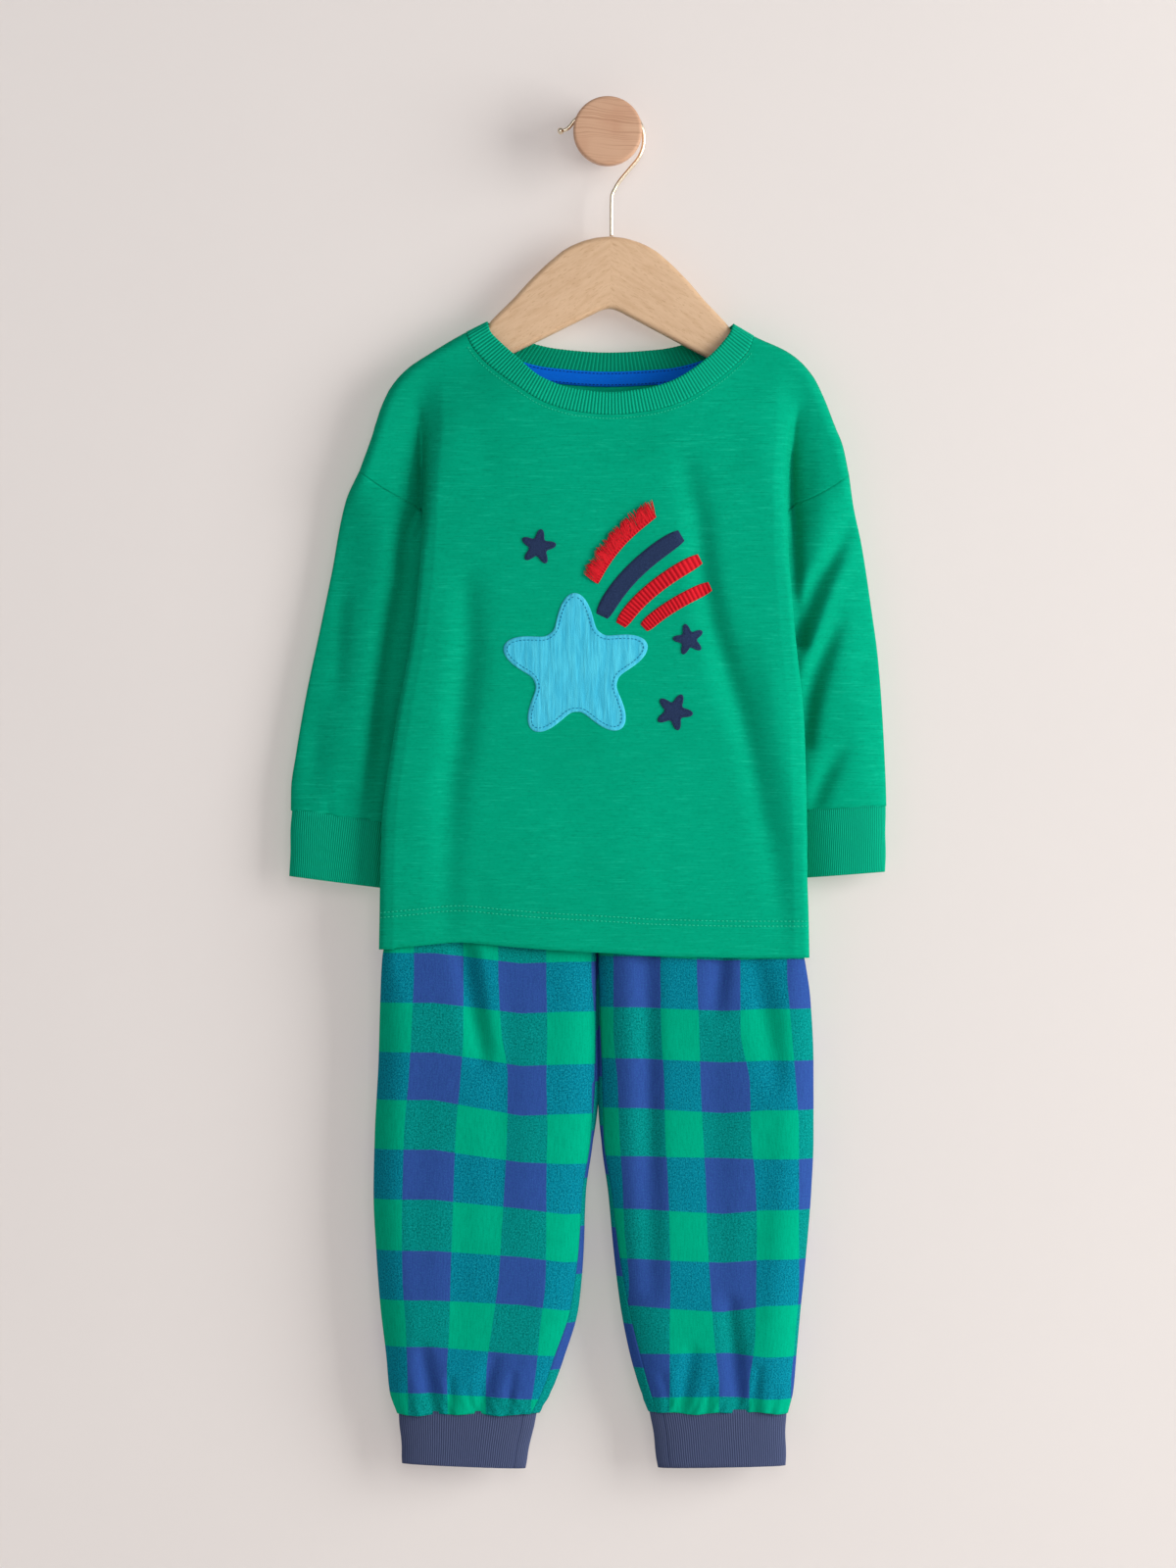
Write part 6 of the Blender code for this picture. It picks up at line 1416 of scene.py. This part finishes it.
def makeHook():
    turn = np.radians(np.linspace(hook["from"], hook["to"], 23))
    bend = np.stack([np.cos(turn), np.sin(turn)], 1) * hook["bend"] + hook["centre"]
    route = np.concatenate([hook["stem"], bend, hook["tail"]]) * mm
    at, knots = np.linspace(0, len(route) - 1, 900), np.arange(len(route))
    line = resample(np.stack([smoothLine(knots, values, at) for values in route.T], 1), hook["steps"] + 1)
    long = reachOf(line)[-1]
    stops = list(np.linspace(0, long - hook["capStart"] * mm, hook["rings"]))
    sizes = [hook["radius"]] * hook["rings"]
    for t in np.linspace(0, 1, 5)[1:]:  # the cap's round shoulder
        stops.append(long - (hook["capStart"] - hook["shoulder"] * t) * mm)
        sizes.append(mix(hook["radius"], hook["cap"], math.sin(t * math.pi / 2)))
    for t in np.linspace(0, 1, 9):  # the cap's length and its round end
        stops.append(long - hook["capEnd"] * mm * (1 - math.sin(t * math.pi / 2)))
        sizes.append(hook["cap"] * max(math.cos(t * math.pi / 2), 0.05))
    turns = np.linspace(0, 2 * math.pi, hook["sides"] + 1)[:-1]
    rings = []
    for (x, z), stop, size in zip(placesAt(stops, np.linspace(0, long, len(line)), line), stops, sizes):
        k = min(max(int(stop / long * hook["steps"]), 1), hook["steps"] - 1)
        run = unit(line[k + 1] - line[k - 1])
        away, deep = size * mm * np.cos(turns), top["ridge"] - size * mm * np.sin(turns)
        rings.append(np.stack([x - run[1] * away, deep, z + run[0] * away], 1))
    solidPiece("hook_wire", rings, wireFinish(), "wire", "hook")


makeHook()
peg = {
    "sides": 128, "sharp": 40,
    # radius and distance from the wall
    "turned": ((0.001, 0.0), (19.6, 0.0), (20, 0.4), (20, 29.8), (20.2, 30.6), (20.8, 31.5), (22.2, 32),
               (23.2, 32.4), (23.7, 33.2), (23.8, 34.2), (23.8, 44.0), (23.6, 44.9), (23.1, 45.5),
               (22.4, 45.9), (21.4, 46.0), (12, 46.0), (0.001, 46.0)),
}
turn = 2 * math.pi * np.arange(peg["sides"]) / peg["sides"]
rings = [np.stack([radius * np.cos(turn), turn * 0 - out, radius * np.sin(turn)], 1) * mm
         for radius, out in peg["turned"]]
solidPiece("peg_wood", rings, pineFinish(), "pine", "knob", peg["sharp"])
print("hanger, hook and peg made")


print("all cloth pieces made")


# wall, floor, light and camera, in metres

room = {"half": 4, "deep": 5, "floor": -1.6, "high": 2.4, "behind": 0.0002, "aim": (0, -0.02, -0.48)}
# place, width, height, power and tone of each softbox
lights = {
    "key": ((3.0, -1.75, 0.0), 2.0, 2.4, 130, (1.0, 0.985, 0.965)),
    "front": ((0.5, -5.4, 0.9), 2.2, 2.2, 54, (1.0, 0.99, 0.98)),
    "fill": ((-2.2, -2.2, 0.2), 2.2, 2.4, 8, (0.97, 0.985, 1.0)),
    "from behind": ((0.6, 2.6, 0.4), 2.0, 2.0, 40, (1.0, 1.0, 1.0)),
}
view = {"place": (-0.0136, -4.03, -0.4519), "sensor": 36, "distance": 4.0, "high": 1.088}


def slab(name, corners, finish):
    mesh = bpy.data.meshes.new(name)
    mesh.from_pydata(corners, [], [(0, 1, 2, 3)])
    obj = bpy.data.objects.new(name, mesh)
    bpy.context.scene.collection.objects.link(obj)
    mesh.materials.append(finish)
    return obj


half, low, high, deep = room["half"], room["floor"], room["high"], room["deep"]
corners = [(x, room["behind"], z) for x, z in ((-half, low), (half, low), (half, high), (-half, high))]
wall = slab("wall", corners, wallFinish("pale wall", "E3DFDC", 0.33))
wall.visible_shadow = False
corners = [(x, y, low) for x, y in ((-half, -deep), (half, -deep), (half, deep), (-half, deep))]
slab("floor", corners, wallFinish("pale floor", "DAD6D2", 0.1))


def softbox(name, place, width, height, power, tone):
    light = bpy.data.lights.new(name, "AREA")
    light.shape, light.size, light.size_y, light.energy, light.color = "RECTANGLE", width, height, power, tone
    lamp = bpy.data.objects.new(name, light)
    lamp.location = place
    lamp.rotation_euler = (Vector(room["aim"]) - Vector(place)).to_track_quat("-Z", "Y").to_euler()
    lamp.visible_camera = False
    bpy.context.scene.collection.objects.link(lamp)


for name, own in lights.items():
    softbox(name, *own)
world = bpy.data.worlds.new("studio")
world.use_nodes = True
background = world.node_tree.nodes["Background"].inputs
background["Color"].default_value = (0.93, 0.95, 1.0, 1)
background["Strength"].default_value = 0.16
bpy.context.scene.world = world
bpy.context.scene.view_settings.view_transform = "Standard"

camera = bpy.data.objects.new("camera", bpy.data.cameras.new("camera"))
camera.data.sensor_width = view["sensor"]
camera.data.lens = view["sensor"] * view["distance"] / view["high"]
camera.location = view["place"]
camera.rotation_euler = (math.radians(90), 0, 0)
bpy.context.scene.collection.objects.link(camera)
bpy.context.scene.camera = camera
print("stage, light and camera made")
